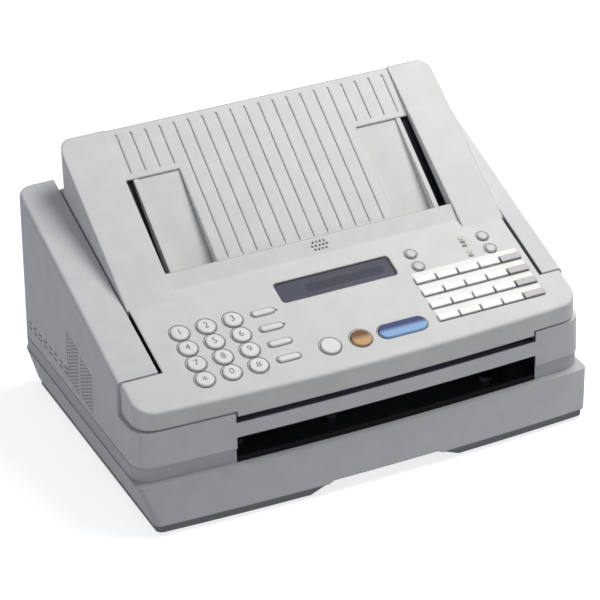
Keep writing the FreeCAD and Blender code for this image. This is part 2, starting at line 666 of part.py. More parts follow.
def main_housing():
    body = new_body("main_housing")
    depth = size.body_depth
    far = depth + size.base_reach
    top = panel_line(far)
    loft(body, size.seam_height, bowed_plan(half_body, NOTHING, depth),
         top, bowed_plan(half_top, NOTHING, depth))
    cut_side(body, [
        (-size.base_reach, size.split_height), (size.wing_depth, size.split_height),
        (size.wing_depth, panel_line(size.wing_depth)), (far, top), (far, 2 * top),
        (-size.base_reach, 2 * top)], -size.body_width, size.body_width)
    dress_edges(body, "Fillet", size.flank_edge,
                lambda edge: along_panel(edge, half_top - size.wall, size.wing_depth - size.wall, far))
    bottom = size.seam_height - size.wall
    for near, back, low, high in (
            (size.front_wall, depth - size.wall, bottom, size.shelf_height - 3 * size.wall),
            (size.front_wall, size.hinge_depth + size.wall, size.seam_height, 2 * top),
            (size.wing_depth, far, size.shelf_height, 2 * top)):
        plan(body, low, high, lambda sketch: rectangle(
            sketch, -size.cover_left, front + near, size.cover_right, front + back), cut)
    flank_back = depth - 2 * size.back_corner
    step = size.wing_depth + size.wall
    hollow = [
        (size.front_wall, bottom), (depth - size.wall, bottom),
        (depth - size.wall, panel_line(flank_back) - size.back_corner),
        (flank_back, panel_line(flank_back) - panel_drop), (step, panel_line(step) - panel_drop),
        (step, size.split_height - size.wall), (size.front_wall, size.split_height - size.wall)]
    inside = half_top - size.wall
    cut_side(body, hollow, -inside, -size.cover_left - size.wall)
    cut_side(body, hollow, size.cover_right + size.wall, inside)
    for low, high in ((bottom, size.print_slot_top),
                      (size.exit_slot_bottom, size.split_height + size.wall)):
        front_cut(body, -size.wall, size.front_wall + 2 * size.wall, lambda sketch: rectangle(
            sketch, -size.slot_left, low, size.slot_right, high))
    vents = new_sketch(body, "YZ_Plane", (0, 0, -half_body - size.wall))
    for line in range(2):
        near = front + size.vent_start
        low = size.vent_low + line * size.vent_row
        rectangle(vents, near, low, near + size.vent_length, low + size.vent_height)
    slots = cut(body, vents, 4 * size.wall + size.body_draft)
    repeat(body, slots, "Y_Axis", size.vent_pitch, VENT_COUNT)
    hinge = (size.hinge_depth, size.hinge_height)
    for left in (-size.cover_left - 2 * size.wall, size.cover_right - size.wall):
        round_cut(body, hinge, size.hinge_radius, left, left + 3 * size.wall)


def hinge_pins():
    body = new_body("hinge_pins", (0, front + size.hinge_depth, size.hinge_height))
    left = -size.cover_left - 2 * size.wall
    right = size.cover_right + 2 * size.wall
    turned(body, size.hinge_radius, left, left + size.pin_length)
    turned(body, size.hinge_radius, right - size.pin_length, right)


def top_cover():
    body = new_body("top_cover")
    panel_plate(body)
    tray_block(body)
    guide_pockets(body)
    trim_front(body)
    dress_edges(body, "Fillet", size.panel_edge,
                lambda edge: along_panel(edge, wing_half - size.wall, -size.wall, size.wing_depth))
    hinge = (size.hinge_depth, size.hinge_height)
    for left in (cover_left - size.wall, cover_right - 2 * size.wall):
        round_cut(body, hinge, size.hinge_radius + size.run_gap, left, left + 3 * size.wall)
    key_openings(body)
    tray_grooves(body)
    sound_holes(body)
    board_posts(body)


def panel_plate(body):
    """The panel and its front down to the document slot, the wings beside it, and the lip over the tray."""
    before = -size.base_reach
    wing_back = size.wing_depth - size.cover_gap
    outside = wing_half + size.wall
    inner = wing_back - size.wall
    pad_side(body, [
        (before, cover_bottom), (size.front_wall, cover_bottom),
        (size.front_wall, panel_line(size.front_wall) - panel_drop),
        (size.lip_start, panel_line(size.lip_start) - panel_drop),
        (size.lip_start, panel_line(size.lip_start)), (before, panel_line(before))],
        cover_left, cover_right)
    pad_side(body, [(before, size.exit_slot_top), (size.front_wall, size.exit_slot_top),
                    (size.front_wall, cover_bottom), (before, cover_bottom)],
             size.cover_gap - size.slot_left, size.slot_right - size.cover_gap)
    wing = [(before, cover_bottom), (wing_back, cover_bottom), (wing_back, panel_line(wing_back)),
            (before, panel_line(before))]
    corner = size.front_corner + size.wall
    hollow = [(corner, size.seam_height), (inner, size.seam_height),
              (inner, panel_line(inner) - panel_drop), (corner, panel_line(corner) - panel_drop)]
    pad_side(body, wing, -outside, cover_left)
    pad_side(body, wing, cover_right, outside)
    cut_side(body, hollow, size.wall - wing_half, cover_left)
    cut_side(body, hollow, cover_right, wing_half - size.wall)
    lip_top = panel_line(size.lip_start) + lip_climb
    pad_side(body, [
        (size.tray_start, panel_line(size.tray_start) - panel_drop),
        (size.lip_start, panel_line(size.lip_start) - panel_drop),
        (size.lip_depth, lip_top - panel_drop), (size.lip_depth, lip_top),
        (size.lip_start, panel_line(size.lip_start)), (size.tray_start, panel_line(size.tray_start))],
        tray_left, tray_right)


def tray_block(body):
    """Tray floor, the two rails, and the outer walls that carry the hinge."""
    start = size.lip_start - size.plate
    back = size.tray_back
    floor_low = [(start, floor_line(start) - floor_drop), (back, floor_line(back) - floor_drop)]
    pad_side(body, floor_low + [(back, floor_line(back)), (start, floor_line(start))],
             cover_left, cover_right)
    rail_edge = [(back, rail_line(back)), (size.tray_start, rail_line(size.tray_start))]
    rail = [(size.tray_start, rail_line(size.tray_start) - tray_drop),
            (back, rail_line(back) - tray_drop)] + rail_edge
    rail_side = floor_low + [(back, rail_line(back)), (start, rail_line(start))]
    ear_back = size.hinge_depth + size.hinge_ear
    ear_low, ear_high = size.hinge_height - size.hinge_ear, size.hinge_height + size.hinge_ear
    wing = size.wing_depth
    skirt = [(wing, panel_line(wing) - size.skirt_depth), (back - size.skirt_depth, ear_low),
             (ear_back, ear_low), (ear_back, ear_high), (back, ear_high + size.hinge_ear)]
    skirt += rail_edge + [(wing, panel_line(wing))]
    for left, right in ((cover_left, tray_left), (tray_right, cover_right)):
        pad_side(body, rail, left, right)
    for left in (tray_left - size.wall, tray_right):
        pad_side(body, rail_side, left, left + size.wall)
    for left in (cover_left, cover_right - size.wall):
        pad_side(body, skirt, left, left + size.wall)
    inner = back - size.wall
    pad_side(body, [(inner, ear_low), (back, ear_low), (back, floor_line(back)),
                    (inner, floor_line(inner))], cover_left, cover_right)
    round_back(body, ear_high + size.hinge_ear)


def round_back(body, low):
    """Fill the tray's two back corners above the hinge, and round them in plan."""
    back = size.tray_back
    post = 2 * size.wall
    inner = back - post
    corner = size.tray_corner
    near, far = front + back - corner, front + back
    for edge, hand in ((cover_left, 1), (cover_right, -1)):
        left, right = (edge, edge + post) if hand > 0 else (edge - post, edge)
        pad_side(body, [(inner, low), (back, low), (back, floor_line(back)), (inner, floor_line(inner))],
                 left, right)
    sketch = new_sketch(body, "XY_Plane", (0, 0, low))
    wide, beyond = size.wall, far + size.wall
    outline(sketch, [(cover_left - wide, near), (cover_left, near), (cover_left + corner, far),
                     (cover_left + corner, beyond), (cover_left - wide, beyond)], {1: corner}, -1)
    outline(sketch, [(cover_right, near), (cover_right + wide, near), (cover_right + wide, beyond),
                     (cover_right - corner, beyond), (cover_right - corner, far)], {4: corner}, -1)
    cut(body, sketch, 2 * size.shelf_height)


def trim_front(body):
    """Widen the gaps beside the panel, and cut the cover's front to the machine's bowed plan."""
    near, far = front + size.wing_depth - size.cover_gap, front + size.tray_start
    for left, right in ((cover_left - size.wall, cover_left + size.panel_gap),
                        (cover_right - size.panel_gap, cover_right + size.wall)):
        plan(body, size.seam_height, 2 * size.panel_height, lambda sketch: rectangle(
            sketch, left, near, right, far), cut)
    half = half_body + size.base_reach
    near, back = front - 2 * size.base_reach, front + size.wing_depth
    (_, (bend, bent), right), left, bow, corner = bowed_corners(wing_half, front, size.front_corner)
    sketch = new_sketch(body, "XY_Plane")
    outline(sketch, [(-half, near), (half, near), (half, back), (wing_half, back), right, (bend, bent),
                     (-bend, bent), left, (-wing_half, back), (-half, back)],
            {4: corner, 5: bow, 6: corner}, -1)
    cut(body, sketch, 2 * panel_line(size.wing_depth))


def pocket_edges(hand):
    """Left and right edge of a guide's pocket in the tray; hand is -1 at the left, 1 at the right."""
    outer = size.document_centre + hand * size.tray_half_width
    inner = outer - hand * size.pocket_width
    return (outer, inner) if hand < 0 else (inner, outer)


def pocket_line(up):
    """Depth of a pocket's floor below the tray floor, at a place up the slope."""
    return -size.pocket_deep + (up - size.pocket_start) * pocket_fall


def tray_side(body, points, left, right, make=pad):
    """A profile in the tray's own slope: up along the floor from its mouth, and out of it."""
    near = front + size.lip_depth
    sketch = new_sketch(body, "YZ_Plane", (0, 0, left))
    outline(sketch, [(near + up * floor_up - out * floor_out, floor_mouth + up * floor_out + out * floor_up)
                     for up, out in points])
    return make(body, sketch, right - left)


def tray_plan(body, out):
    """A sketch parallel to the tray floor, out above it; its second axis runs up the slope."""
    shift = (0, front + size.lip_depth - out * floor_out, floor_mouth + out * floor_up)
    return new_sketch(body, "XY_Plane", shift, floor_tilt)


def post_edges(hand):
    """Left, low, right and high edge of the post that joins a guide to its rack."""
    left, right = pocket_edges(hand)
    inner = right - size.post_inset if hand < 0 else left + size.post_inset
    rack_foot = guide_pinion_radius + 1.25 * size.tooth_module
    middle = size.pinion_place - hand * (rack_foot + size.rack_width / 2)
    half = size.guide_post / 2
    return inner - half, middle - half, inner + half, middle + half


def guide_pockets(body):
    """A box under each guide, then the pocket, the slot for the guide's post, and the pinion's pin."""
    start, end = size.pocket_start, size.pocket_start + size.pocket_length
    low, high = start - size.wall, end + size.wall
    roof = -size.tray_floor / 2
    for hand in (-1, 1):
        left, right = pocket_edges(hand)
        tray_side(body, [(low, pocket_line(low) - size.wall), (high, pocket_line(high) - size.wall),
                         (high, roof), (low, roof)], left - size.wall, right + size.wall)
    for hand in (-1, 1):
        left, right = pocket_edges(hand)
        tray_side(body, [(start, pocket_line(start)), (end, pocket_line(end)), (end, size.pocket_deep),
                         (start, size.tray_floor / 2)], left, right, cut)
    slots = tray_plan(body, rack_high)
    gap = size.slide_gap
    for hand in (-1, 1):
        left, near, right, far = post_edges(hand)
        out = size.guide_travel
        outer_left, outer_right = (left - out, right) if hand < 0 else (left, right + out)
        rectangle(slots, outer_left - gap, near - gap, outer_right + gap, far + gap)
    cut(body, slots, size.pocket_deep)
    for radius, low in ((2 * size.pinion_pin, rack_high + size.slide_gap), (size.pinion_pin, rack_low)):
        pin = tray_plan(body, low)
        circle(pin, size.document_centre, size.pinion_place, radius)
        pad(body, pin, -size.tray_floor / 2 - low)


def on_panel(body, out):
    """A sketch parallel to the panel, out above its face; its second axis runs up the slope."""
    shift = (0, front - out * sine(size.panel_tilt), size.panel_height + out * cosine(size.panel_tilt))
    return new_sketch(body, "XY_Plane", shift, size.panel_tilt)


def round_key(radius):
    def draw(sketch, x, y, grow):
        circle(sketch, x, y, radius + grow)
    return draw


def long_key(length, width):
    def draw(sketch, x, y, grow):
        rounded(sketch, x, y, length + 2 * grow, width + 2 * grow, 0.49 * (width + 2 * grow))
    return draw


def single_keys():
    """Every single key: its name, its place on the panel, and a function that draws it grown."""
    keys = []
    for row, names in enumerate(NUMBER_KEYS):
        up = size.key_top - row * size.key_row
        for column, name in enumerate(names):
            x = size.key_left + column * size.key_pitch
            keys.append(("key_" + name, x, up, round_key(size.key_radius)))
        shape = long_key(size.function_length, size.function_width)
        keys.append(("function_key_%d" % (row + 1), size.function_x, up, shape))
    keys.append(("copy_key", size.copy_x, size.action_row, round_key(size.copy_radius)))
    keys.append(("stop_key", size.stop_x, size.action_row, round_key(size.stop_radius)))
    keys.append(("start_key", size.start_x, size.action_row, long_key(size.start_length, size.start_width)))
    places = [(x, up) for x in (size.mode_left, size.mode_right)
              for up in (size.mode_top, size.mode_bottom)]
    for index, (x, up) in enumerate(places):
        keys.append(("mode_key_%d" % (index + 1), x, up, round_key(size.mode_radius)))
    return keys


def touch_edges(row, column):
    """Left, front, right and back edge of a one-touch key."""
    left = size.touch_left + column * size.touch_pitch
    near = size.touch_front + row * size.touch_row
    return left, near, left + size.touch_width, near + size.touch_depth


def lamp_rectangles(sketch, grow):
    across = size.lamp_length / 2 + grow
    along = size.lamp_width / 2 + grow
    for up in LAMP_PLACES:
        rectangle(sketch, size.lamp_x - across, up - along, size.lamp_x + across, up + along)


def touch_rectangles(sketch, row, column, across, along):
    left, near, right, far = touch_edges(row, column)
    rectangle(sketch, left - across, near - along, right + across, far + along)


def key_openings(body):
    low = -1.5 * size.plate
    through = 2.5 * size.plate
    sketch = on_panel(body, low)
    for _, x, up, draw in single_keys():
        draw(sketch, x, up, size.key_gap)
    display_shape(sketch, NOTHING, NOTHING, size.display_corner)
    cut(body, sketch, through)
    lamps = on_panel(body, low)
    lamp_rectangles(lamps, size.lamp_gap)
    cut(body, lamps, through)
    column = on_panel(body, low)
    for row in range(TOUCH_ROWS):
        touch_rectangles(column, row, 0, size.key_gap, size.key_gap)
    repeat(body, cut(body, column, through), "X_Axis", size.touch_pitch, TOUCH_COLUMNS)


def tray_grooves(body):
    """Fine grooves up the tray floor; the outer ones stop at the guides' pockets."""
    length = (size.tray_back - size.lip_depth) / floor_up - size.groove_margin
    upper = size.pocket_start + size.pocket_length + size.groove_margin
    for count, low, high in ((GROOVE_COUNT, upper, length), (LONG_GROOVES, size.groove_stop, upper)):
        sketch = tray_plan(body, -size.groove_depth)
        x = size.document_centre - (count - 1) / 2 * size.groove_pitch
        rectangle(sketch, x - size.groove_width / 2, low, x + size.groove_width / 2, high)
        repeat(body, cut(body, sketch, 3 * size.groove_depth), "X_Axis", size.groove_pitch, count)


def lip_place():
    """Middle of the lip's upper face."""
    height = panel_line(size.lip_start) + lip_climb / 2
    return size.sounder_x, front + size.lip_start + lip_run / 2, height


def sound_holes(body):
    """Rows of holes in the lip, over the sounder."""
    x, y, z = lip_place()
    low = -1.5 * size.plate
    place = (x, y - low * sine(lip_tilt), z + low * cosine(lip_tilt))
    sketch = new_sketch(body, "XY_Plane", place, lip_tilt)
    pitch = size.sound_pitch
    for row, count in ((-1, 4), (0, 5), (1, 4)):
        for index in range(count):
            circle(sketch, (index - (count - 1) / 2) * pitch, row * pitch, size.sound_hole)
    cut(body, sketch, 2.5 * size.plate)


def post_places():
    return [(size.post_left, size.post_low), (size.post_left, size.post_high),
            (size.post_right, size.post_right_place), (size.post_right, size.post_low)]


def board_posts(body):
    """Posts that hold the panel board below the panel."""
    sketch = on_panel(body, board_top)
    circles(sketch, post_places(), size.post_radius)
    pad(body, sketch, -size.plate / 2 - board_top)


def sounder():
    """Flat sounder under the lip."""
    body = new_body("sounder", lip_place(), lip_tilt)
    low = -panel_drop * cosine(lip_tilt) - size.sounder_thickness
    sketch = new_sketch(body, "XY_Plane", (0, 0, low))
    rounded(sketch, NOTHING, NOTHING, size.sounder_length, size.sounder_width, size.wall)
    pad(body, sketch, size.sounder_thickness)


def keys():
    """The single keys: a cap through the panel, and a flange that holds it below the plate."""
    slope, rise = cosine(size.panel_tilt), sine(size.panel_tilt)
    for name, x, up, draw in single_keys():
        body = new_body(name, (x, front + up * slope, size.panel_height + up * rise), size.panel_tilt)
        for grow, high in ((size.key_flange, -size.plate - size.key_hang), (NOTHING, size.key_rise)):
            sketch = new_sketch(body, "XY_Plane", (0, 0, key_low))
            draw(sketch, NOTHING, NOTHING, grow)
            pad(body, sketch, high - key_low)
        top = number(size.key_rise)
        dress_edges(body, "Chamfer", size.key_edge, lambda edge: abs(edge.CenterOfMass.z - top) < 1e-6)


def one_touch_rows():
    """Rows of one-touch keys; the keys of a row are separate solids."""
    for row in range(TOUCH_ROWS):
        body = new_body("one_touch_row_%d" % (row + 1), panel_origin, size.panel_tilt)
        for grow, high in ((size.touch_flange, -size.plate - size.key_hang), (NOTHING, size.key_rise)):
            sketch = new_sketch(body, "XY_Plane", (0, 0, key_low))
            for column in range(TOUCH_COLUMNS):
                touch_rectangles(sketch, row, column, grow, 2 * grow)
            pad(body, sketch, high - key_low)


def one_touch_labels():
    body = new_body("one_touch_labels", panel_origin, size.panel_tilt)
    sketch = new_sketch(body, "XY_Plane")
    for row in range(TOUCH_ROWS):
        left, _, _, far = touch_edges(row, 0)
        right = touch_edges(row, TOUCH_COLUMNS - 1)[2]
        near = far + 2 * size.key_gap
        rectangle(sketch, left, near, right, near + size.label_depth)
    pad(body, sketch, size.label_thickness)


def display_shape(sketch, across, along, corner):
    """The display's outline, grown to both sides."""
    width, height = size.display_right - size.display_left, size.display_back - size.display_front
    rounded(sketch, size.display_left + width / 2, size.display_front + height / 2,
            width + 2 * across, height + 2 * along, corner)


def lcd_window():
    body = new_body("lcd_window", panel_origin, size.panel_tilt)
    low = -size.plate - size.window_flange_thickness
    for grow, high in ((size.window_flange, -size.plate), (-size.lamp_gap, -size.window_sink)):
        sketch = new_sketch(body, "XY_Plane", (0, 0, low))
        display_shape(sketch, grow, grow, size.display_corner)
        pad(body, sketch, high - low)


def lcd_module():
    body = new_body("lcd_module", panel_origin, size.panel_tilt)
    high = -size.plate - size.window_flange_thickness
    sketch = new_sketch(body, "XY_Plane", (0, 0, high - size.display_thickness))
    display_shape(sketch, size.display_margin, size.window_flange, size.window_flange)
    pad(body, sketch, size.display_thickness)


def indicator_lamps():
    """Small lamps that stand on the panel board and show through the panel."""
    body = new_body("indicator_lamps", panel_origin, size.panel_tilt)
    sketch = new_sketch(body, "XY_Plane", (0, 0, board_top))
    lamp_rectangles(sketch, NOTHING)
    pad(body, sketch, size.lamp_rise - board_top)


def board_outline(sketch, inset):
    """The panel board goes round the display module."""
    gap = 2 * size.display_margin + inset
    left, right = inset - size.board_left, size.board_right - inset
    near, far = size.board_front + inset, size.board_back - inset
    notch = size.display_front - gap
    upper = size.key_top + 2 * size.key_radius - inset
    outline(sketch, [
        (left, near), (right, near), (right, far), (size.display_right + gap, far),
        (size.display_right + gap, notch), (size.display_left - gap, notch),
        (size.display_left - gap, upper), (left, upper)])


def key_mat():
    body = new_body("key_mat", panel_origin, size.panel_tilt)
    sketch = new_sketch(body, "XY_Plane", (0, 0, board_top))
    board_outline(sketch, size.mat_inset)
    lamp_rectangles(sketch, size.lamp_gap)
    for x, y in post_places():
        circle(sketch, x, y, size.post_radius + size.lamp_gap)
    pad(body, sketch, size.mat_thickness)


def panel_board():
    body = new_body("panel_board", panel_origin, size.panel_tilt)
    sketch = new_sketch(body, "XY_Plane", (0, 0, board_top - size.board_thickness))
    board_outline(sketch, NOTHING)
    pad(body, sketch, size.board_thickness)


def strip(line, near, far, low, high):
    """Side of a sheet between two lines parallel to a sloping line, low and high above it."""
    first, last = line(near), line(far)
    return [(near, first + low), (far, last + low), (far, last + high), (near, first + high)]


def panel_back():
    """Upper document guide, which also closes the panel from below."""
    body = new_body("panel_back")
    high = size.upper_sheet / cosine(upper_tilt)
    pad_side(body, strip(upper_guide, size.front_wall, size.upper_end, NOTHING, high),
             path_left + size.path_play, path_right - size.path_play)


def separation_pad():
    """Rubber pad under the upper guide, over the feed roller."""
    body = new_body("separation_pad")
    room = upper_guide(feed_axis[0]) - feed_axis[1]
    reach = (size.feed_radius + size.pad_clearance) / cosine(upper_tilt)
    half = size.pad_width / 2
    near = feed_axis[0] - size.pad_length / 2 - size.pad_clearance
    pad_side(body, strip(upper_guide, near, size.upper_end, reach - room, NOTHING),
             size.document_centre - half, size.document_centre + half)


def document_guide(hand, label):
    """L-shaped document guide: a sunken plate, its outer wall, and the rack that couples the two."""
    body = new_body(label)
    left, right = pocket_edges(hand)
    gap = size.slide_gap
    if hand < 0:
        left, right = left + size.guide_travel + gap, right - gap
        wall_left = left
    else:
        left, right = left + gap, right - size.guide_travel - gap
        wall_left = right - size.guide_wall
    start, end = size.pocket_start + gap, size.pocket_start + size.pocket_length - gap
    low = [(start, pocket_line(start) + gap), (end, pocket_line(end) + gap)]
    plate = size.guide_plate
    tray_side(body, low + [(up, out + plate) for up, out in reversed(low)], left, right)
    tray_side(body, low + [(end, NOTHING), (start, NOTHING)], wall_left, wall_left + size.guide_wall)
    post_left, post_near, post_right, post_far = post_edges(hand)
    post = tray_plan(body, rack_low)
    rectangle(post, post_left, post_near, post_right, post_far)
    pad(body, post, pocket_line(post_near) + gap + plate / 2 - rack_low)
    guide_rack(body, hand, post_left, post_right)


def guide_rack(body, hand, post_left, post_right):
    """A rack below the tray, from the guide's post past the pinion; a gap lies over the pinion."""
    unit = size.tooth_module
    pitch_line = size.pinion_place - hand * guide_pinion_radius
    tip, back = pitch_line + hand * 0.9 * unit, pitch_line - hand * (1.25 * unit + size.rack_width)
    foot = pitch_line - hand * 1.25 * unit
    far = size.document_centre + size.rack_overrun
    near = size.document_centre - size.rack_overrun
    left, right = (post_left, far) if hand < 0 else (near, post_right)
    low, high = (tip, back) if hand < 0 else (back, tip)
    bar = tray_plan(body, rack_low)
    rectangle(bar, left, low, right, high)
    pad(body, bar, size.rack_thickness)
    pitch = math.pi * unit
    x = size.document_centre - (RACK_GAPS - 1) / 2 * pitch
    gap = tray_plan(body, rack_low - size.wall)
    wide = [(x + 1.4 * unit, tip + hand * unit / 2), (x - 1.4 * unit, tip + hand * unit / 2)]
    narrow = [(x - 0.62 * unit, foot), (x + 0.62 * unit, foot)]
    outline(gap, narrow + wide if hand > 0 else [narrow[1], narrow[0]] + [wide[1], wide[0]])
    repeat(body, cut(body, gap, size.rack_thickness + 2 * size.wall), "X_Axis", pitch, RACK_GAPS)


def guide_pinion():
    up = size.pinion_place
    place = (size.document_centre, front + size.lip_depth + up * floor_up, floor_mouth + up * floor_out)
    body = new_body("guide_pinion", place, floor_tilt)
    spur_gear(body, "XY_Plane", "Z_Axis", size.guide_teeth, rack_low, rack_high)
    bore = new_sketch(body, "XY_Plane", (0, 0, rack_low - size.wall))
    circle(bore, NOTHING, NOTHING, size.pinion_pin + size.run_gap)
    cut(body, bore, size.rack_thickness + 2 * size.wall)


def tilted(centre, tilt, points):
    """Points given along a slope and out of it, as depths and heights."""
    along, out = cosine(tilt), sine(tilt)
    return [(centre[0] + a * along - b * out, centre[1] + a * out + b * along) for a, b in points]


def sensor_box(low, high, grow=NOTHING):
    """Side of the image sensor, or of what lies round it, between two heights out of the lower guide."""
    centre = (size.sensor_depth, lower_guide(size.sensor_depth))
    half = size.sensor_width / 2 + grow
    return tilted(centre, guide_tilt, [(-half, low), (half, low), (half, high), (-half, high)])


def lower_frame():
    body = new_body("lower_frame")
    outer_left, outer_right = path_left - size.frame_plate, path_right + size.frame_plate
    head_back = platen_axis[0] + size.head_width / 2 + size.head_play
    sheet_drop = size.guide_sheet / cosine(guide_tilt)
    side = [(size.frame_front, bar_low), (size.frame_step, bar_low), (size.frame_step, size.seam_height),
            (size.frame_back, size.seam_height), (size.frame_back, size.frame_top),
            (size.guide_back_depth, size.frame_top), (size.frame_front, size.frame_nose)]
    for left in (outer_left, path_right):
        pad_side(body, side, left, left + size.frame_plate)
    pad_side(body, [(size.frame_step - size.wall, size.seam_height), (size.frame_back, size.seam_height),
                    (size.frame_back, frame_low), (size.frame_step - size.wall, frame_low)],
             outer_left, outer_right)
    head_front = platen_axis[0] - size.head_width / 2 - size.head_play
    pad_side(body, [(head_front, bar_low), (head_back, bar_low),
                    (head_back, bar_top), (head_front, bar_top)], outer_left, outer_right)
    trough(body, outer_left, outer_right)
    pad_side(body, strip(lower_guide, size.frame_front, size.guide_back_depth, -sheet_drop, NOTHING),
             outer_left, outer_right)
    pad_side(body, sensor_box(-size.sensor_height - size.guide_sheet, -size.sensor_height),
             outer_left, outer_right)
    cut_side(body, sensor_box(-size.sensor_height, size.sensor_height, size.socket_gap),
             path_left + size.wall, path_right - size.wall)
    roller_openings(body)
    motor_bracket(body)
    for axis in (exit_axis, feed_axis, platen_axis):
        round_cut(body, axis, size.bush_radius, outer_left - size.wall / 2, outer_right + size.wall)


def trough(body, left, right):
    """The hollow that the paper roll lies in."""
    inner = size.roll_radius + size.trough_gap
    outer = inner + size.trough_wall
    half = size.trough_half_angle
    across, drop = sine(half), cosine(half)
    x, z = front + roll_axis[0], roll_axis[1]
    sketch = new_sketch(body, "YZ_Plane", (0, 0, left))
    outline(sketch, [
        (x - outer * across, z - outer * drop), (x, z - outer), (x + outer * across, z - outer * drop),
        (x + inner * across, z - inner * drop), (x, z - inner), (x - inner * across, z - inner * drop)],
        {0: outer, 1: outer})
    hollow = new_sketch(body, "YZ_Plane", (0, 0, path_left))
    pad(body, sketch, right - left)
    circle(hollow, x, z, inner)
    cut(body, hollow, path_right - path_left)


def roller_openings(body):
    """Openings in the lower guide for the exit rings and the feed roller."""
    high = size.frame_top + size.wall
    reach = size.exit_radius + size.roller_gap
    half = size.ring_width / 2 + size.roller_gap
    middle = front + exit_axis[0]
    for x in ring_places():
        plan(body, exit_axis[1], high, lambda sketch: rectangle(
            sketch, x - half, middle - reach, x + half, middle + reach), cut)
    half = size.feed_width / 2 + size.roller_gap
    reach = size.feed_radius + size.roller_gap
    centre = size.document_centre
    plan(body, feed_axis[1] - reach, high, lambda sketch: rectangle(
        sketch, centre - half, front + feed_axis[0] - reach, centre + half, front + size.bracket_back), cut)


def ring_places():
    return [size.document_centre + step * size.ring_spacing for step in (-1, 0, 1)]


def motor_bracket(body):
    """The plate that carries the motor, on two posts beside the gears."""
    edges = [(size.bracket_front, size.bracket_low), (size.bracket_back, size.bracket_low),
             (size.bracket_back, size.bracket_high), (size.bracket_front, size.bracket_high)]
    pad_side(body, edges, bracket_left, bracket_right)
    inset = 2 * size.bracket_post
    sketch = new_sketch(body, "YZ_Plane", (0, 0, bracket_left))
    for depth, height in ((size.bracket_front + inset, size.bracket_low + inset),
                          (size.bracket_back - inset / 2, motor_axis[1])):
        circle(sketch, front + depth, height, size.bracket_post)
    pad(body, sketch, path_left - size.frame_plate / 2 - bracket_left)
    round_cut(body, motor_axis, 2 * size.motor_shaft, bracket_left - size.wall,
              bracket_right + size.wall / 2)


def drive_motor():
    body = new_body("drive_motor", (0, front + motor_axis[0], motor_axis[1]))
    left = bracket_left - size.motor_length
    turned(body, size.motor_radius, left, bracket_left)
    turned(body, size.motor_shaft + size.run_gap, bracket_left - size.shaft_depth - size.slide_gap,
           bracket_left + size.wall, cut)


def geared_body(label, centre, gap_angle):
    """A drive gear in its plane; gap_angle points the middle of a tooth gap at its neighbour."""
    body = new_body(label, (0, front + centre[0], centre[1]), gap_angle)
    spur_gear(body, "YZ_Plane", "X_Axis", size.gear_teeth, gear_left, gear_right)
    return body


def motor_pinion():
    """The motor's shaft with its gear; a tooth points at both gears that it drives."""
    body = geared_body("motor_pinion", motor_axis, size.exit_to_motor + 180 + 180 / size.gear_teeth)
    turned(body, size.motor_shaft, bracket_left - size.shaft_depth, gear_right)


def roller_shaft(body):
    turned(body, size.shaft_radius, gear_left, path_right + size.frame_plate + size.shaft_end)


def exit_roller():
    body = geared_body("exit_roller", exit_axis, size.exit_to_motor)
    roller_shaft(body)
    for x in ring_places():
        turned(body, size.exit_radius, x - size.ring_width / 2, x + size.ring_width / 2)


def feed_roller():
    turn = mesh_turn(size.exit_to_motor + 180 + 180 / size.gear_teeth, size.motor_to_feed)
    body = geared_body("feed_roller", feed_axis, turn)
    roller_shaft(body)
    half = size.feed_width / 2
    turned(body, size.feed_radius, size.document_centre - half, size.document_centre + half)


def mesh_turn(turn, direction):
    """Turn of a gear of equal size that lies in a direction from another one and meshes with it."""
    return 2 * direction + 180 - turn + 180 / size.gear_teeth


def platen_roller():
    body = new_body("platen_roller", (0, front + platen_axis[0], platen_axis[1]))
    roller_shaft(body)
    turned(body, size.platen_radius, path_left + size.roller_play, path_right - size.roller_play)


def platen_gear():
    turn = mesh_turn(size.exit_to_motor, size.exit_to_platen)
    body = geared_body("platen_gear", platen_axis, turn)
    turned(body, size.shaft_radius, gear_left - size.wall, gear_right + size.wall, cut)


def shaft_bushes():
    """Plain bearing rings in the side plates; the rollers' shafts turn in them."""
    body = new_body("shaft_bushes")
    for left in (path_left - size.frame_plate, path_right):
        sketch = new_sketch(body, "YZ_Plane", (0, 0, left))
        for depth, height in (exit_axis, feed_axis, platen_axis):
            circle(sketch, front + depth, height, size.bush_radius)
            circle(sketch, front + depth, height, size.shaft_radius + size.run_gap)
        pad(body, sketch, size.frame_plate)


def paper_roll():
    body = new_body("paper_roll", (0, front + roll_axis[0], roll_axis[1]))
    left, right = path_left + size.roll_play, path_right - size.roll_play
    turned(body, size.roll_radius, left, right)
    turned(body, size.core_radius, left - size.wall, right + size.wall, cut)


def image_sensor():
    body = new_body("image_sensor")
    pad_side(body, sensor_box(-size.sensor_height, NOTHING), path_left + size.sensor_play,
             path_right - size.sensor_play)


def thermal_head():
    body = new_body("thermal_head")
    half = size.head_width / 2
    near, far = platen_axis[0] - half, platen_axis[0] + half
    pad_side(body, [(near, head_low), (far, head_low), (far, head_top), (near, head_top)],
             path_left + size.head_play, path_right - size.head_play)


def head_springs():
    """Two leaf springs that press the head up to the platen."""
    body = new_body("head_springs")
    sheet_metal, crown, reach = size.spring_sheet, size.spring_crown, size.spring_reach
    foot = reach - crown
    lower = [(-reach, bar_top), (-foot, bar_top), (-crown, head_low - sheet_metal),
             (crown, head_low - sheet_metal), (foot, bar_top), (reach, bar_top)]
    upper = [(depth, height + sheet_metal) for depth, height in reversed(lower)]
    profile = [(platen_axis[0] + depth, height) for depth, height in lower + upper]
    centre = (path_left + path_right) / 2
    for x in (centre - size.spring_offset, centre + size.spring_offset):
        pad_side(body, profile, x - size.spring_width / 2, x + size.spring_width / 2)


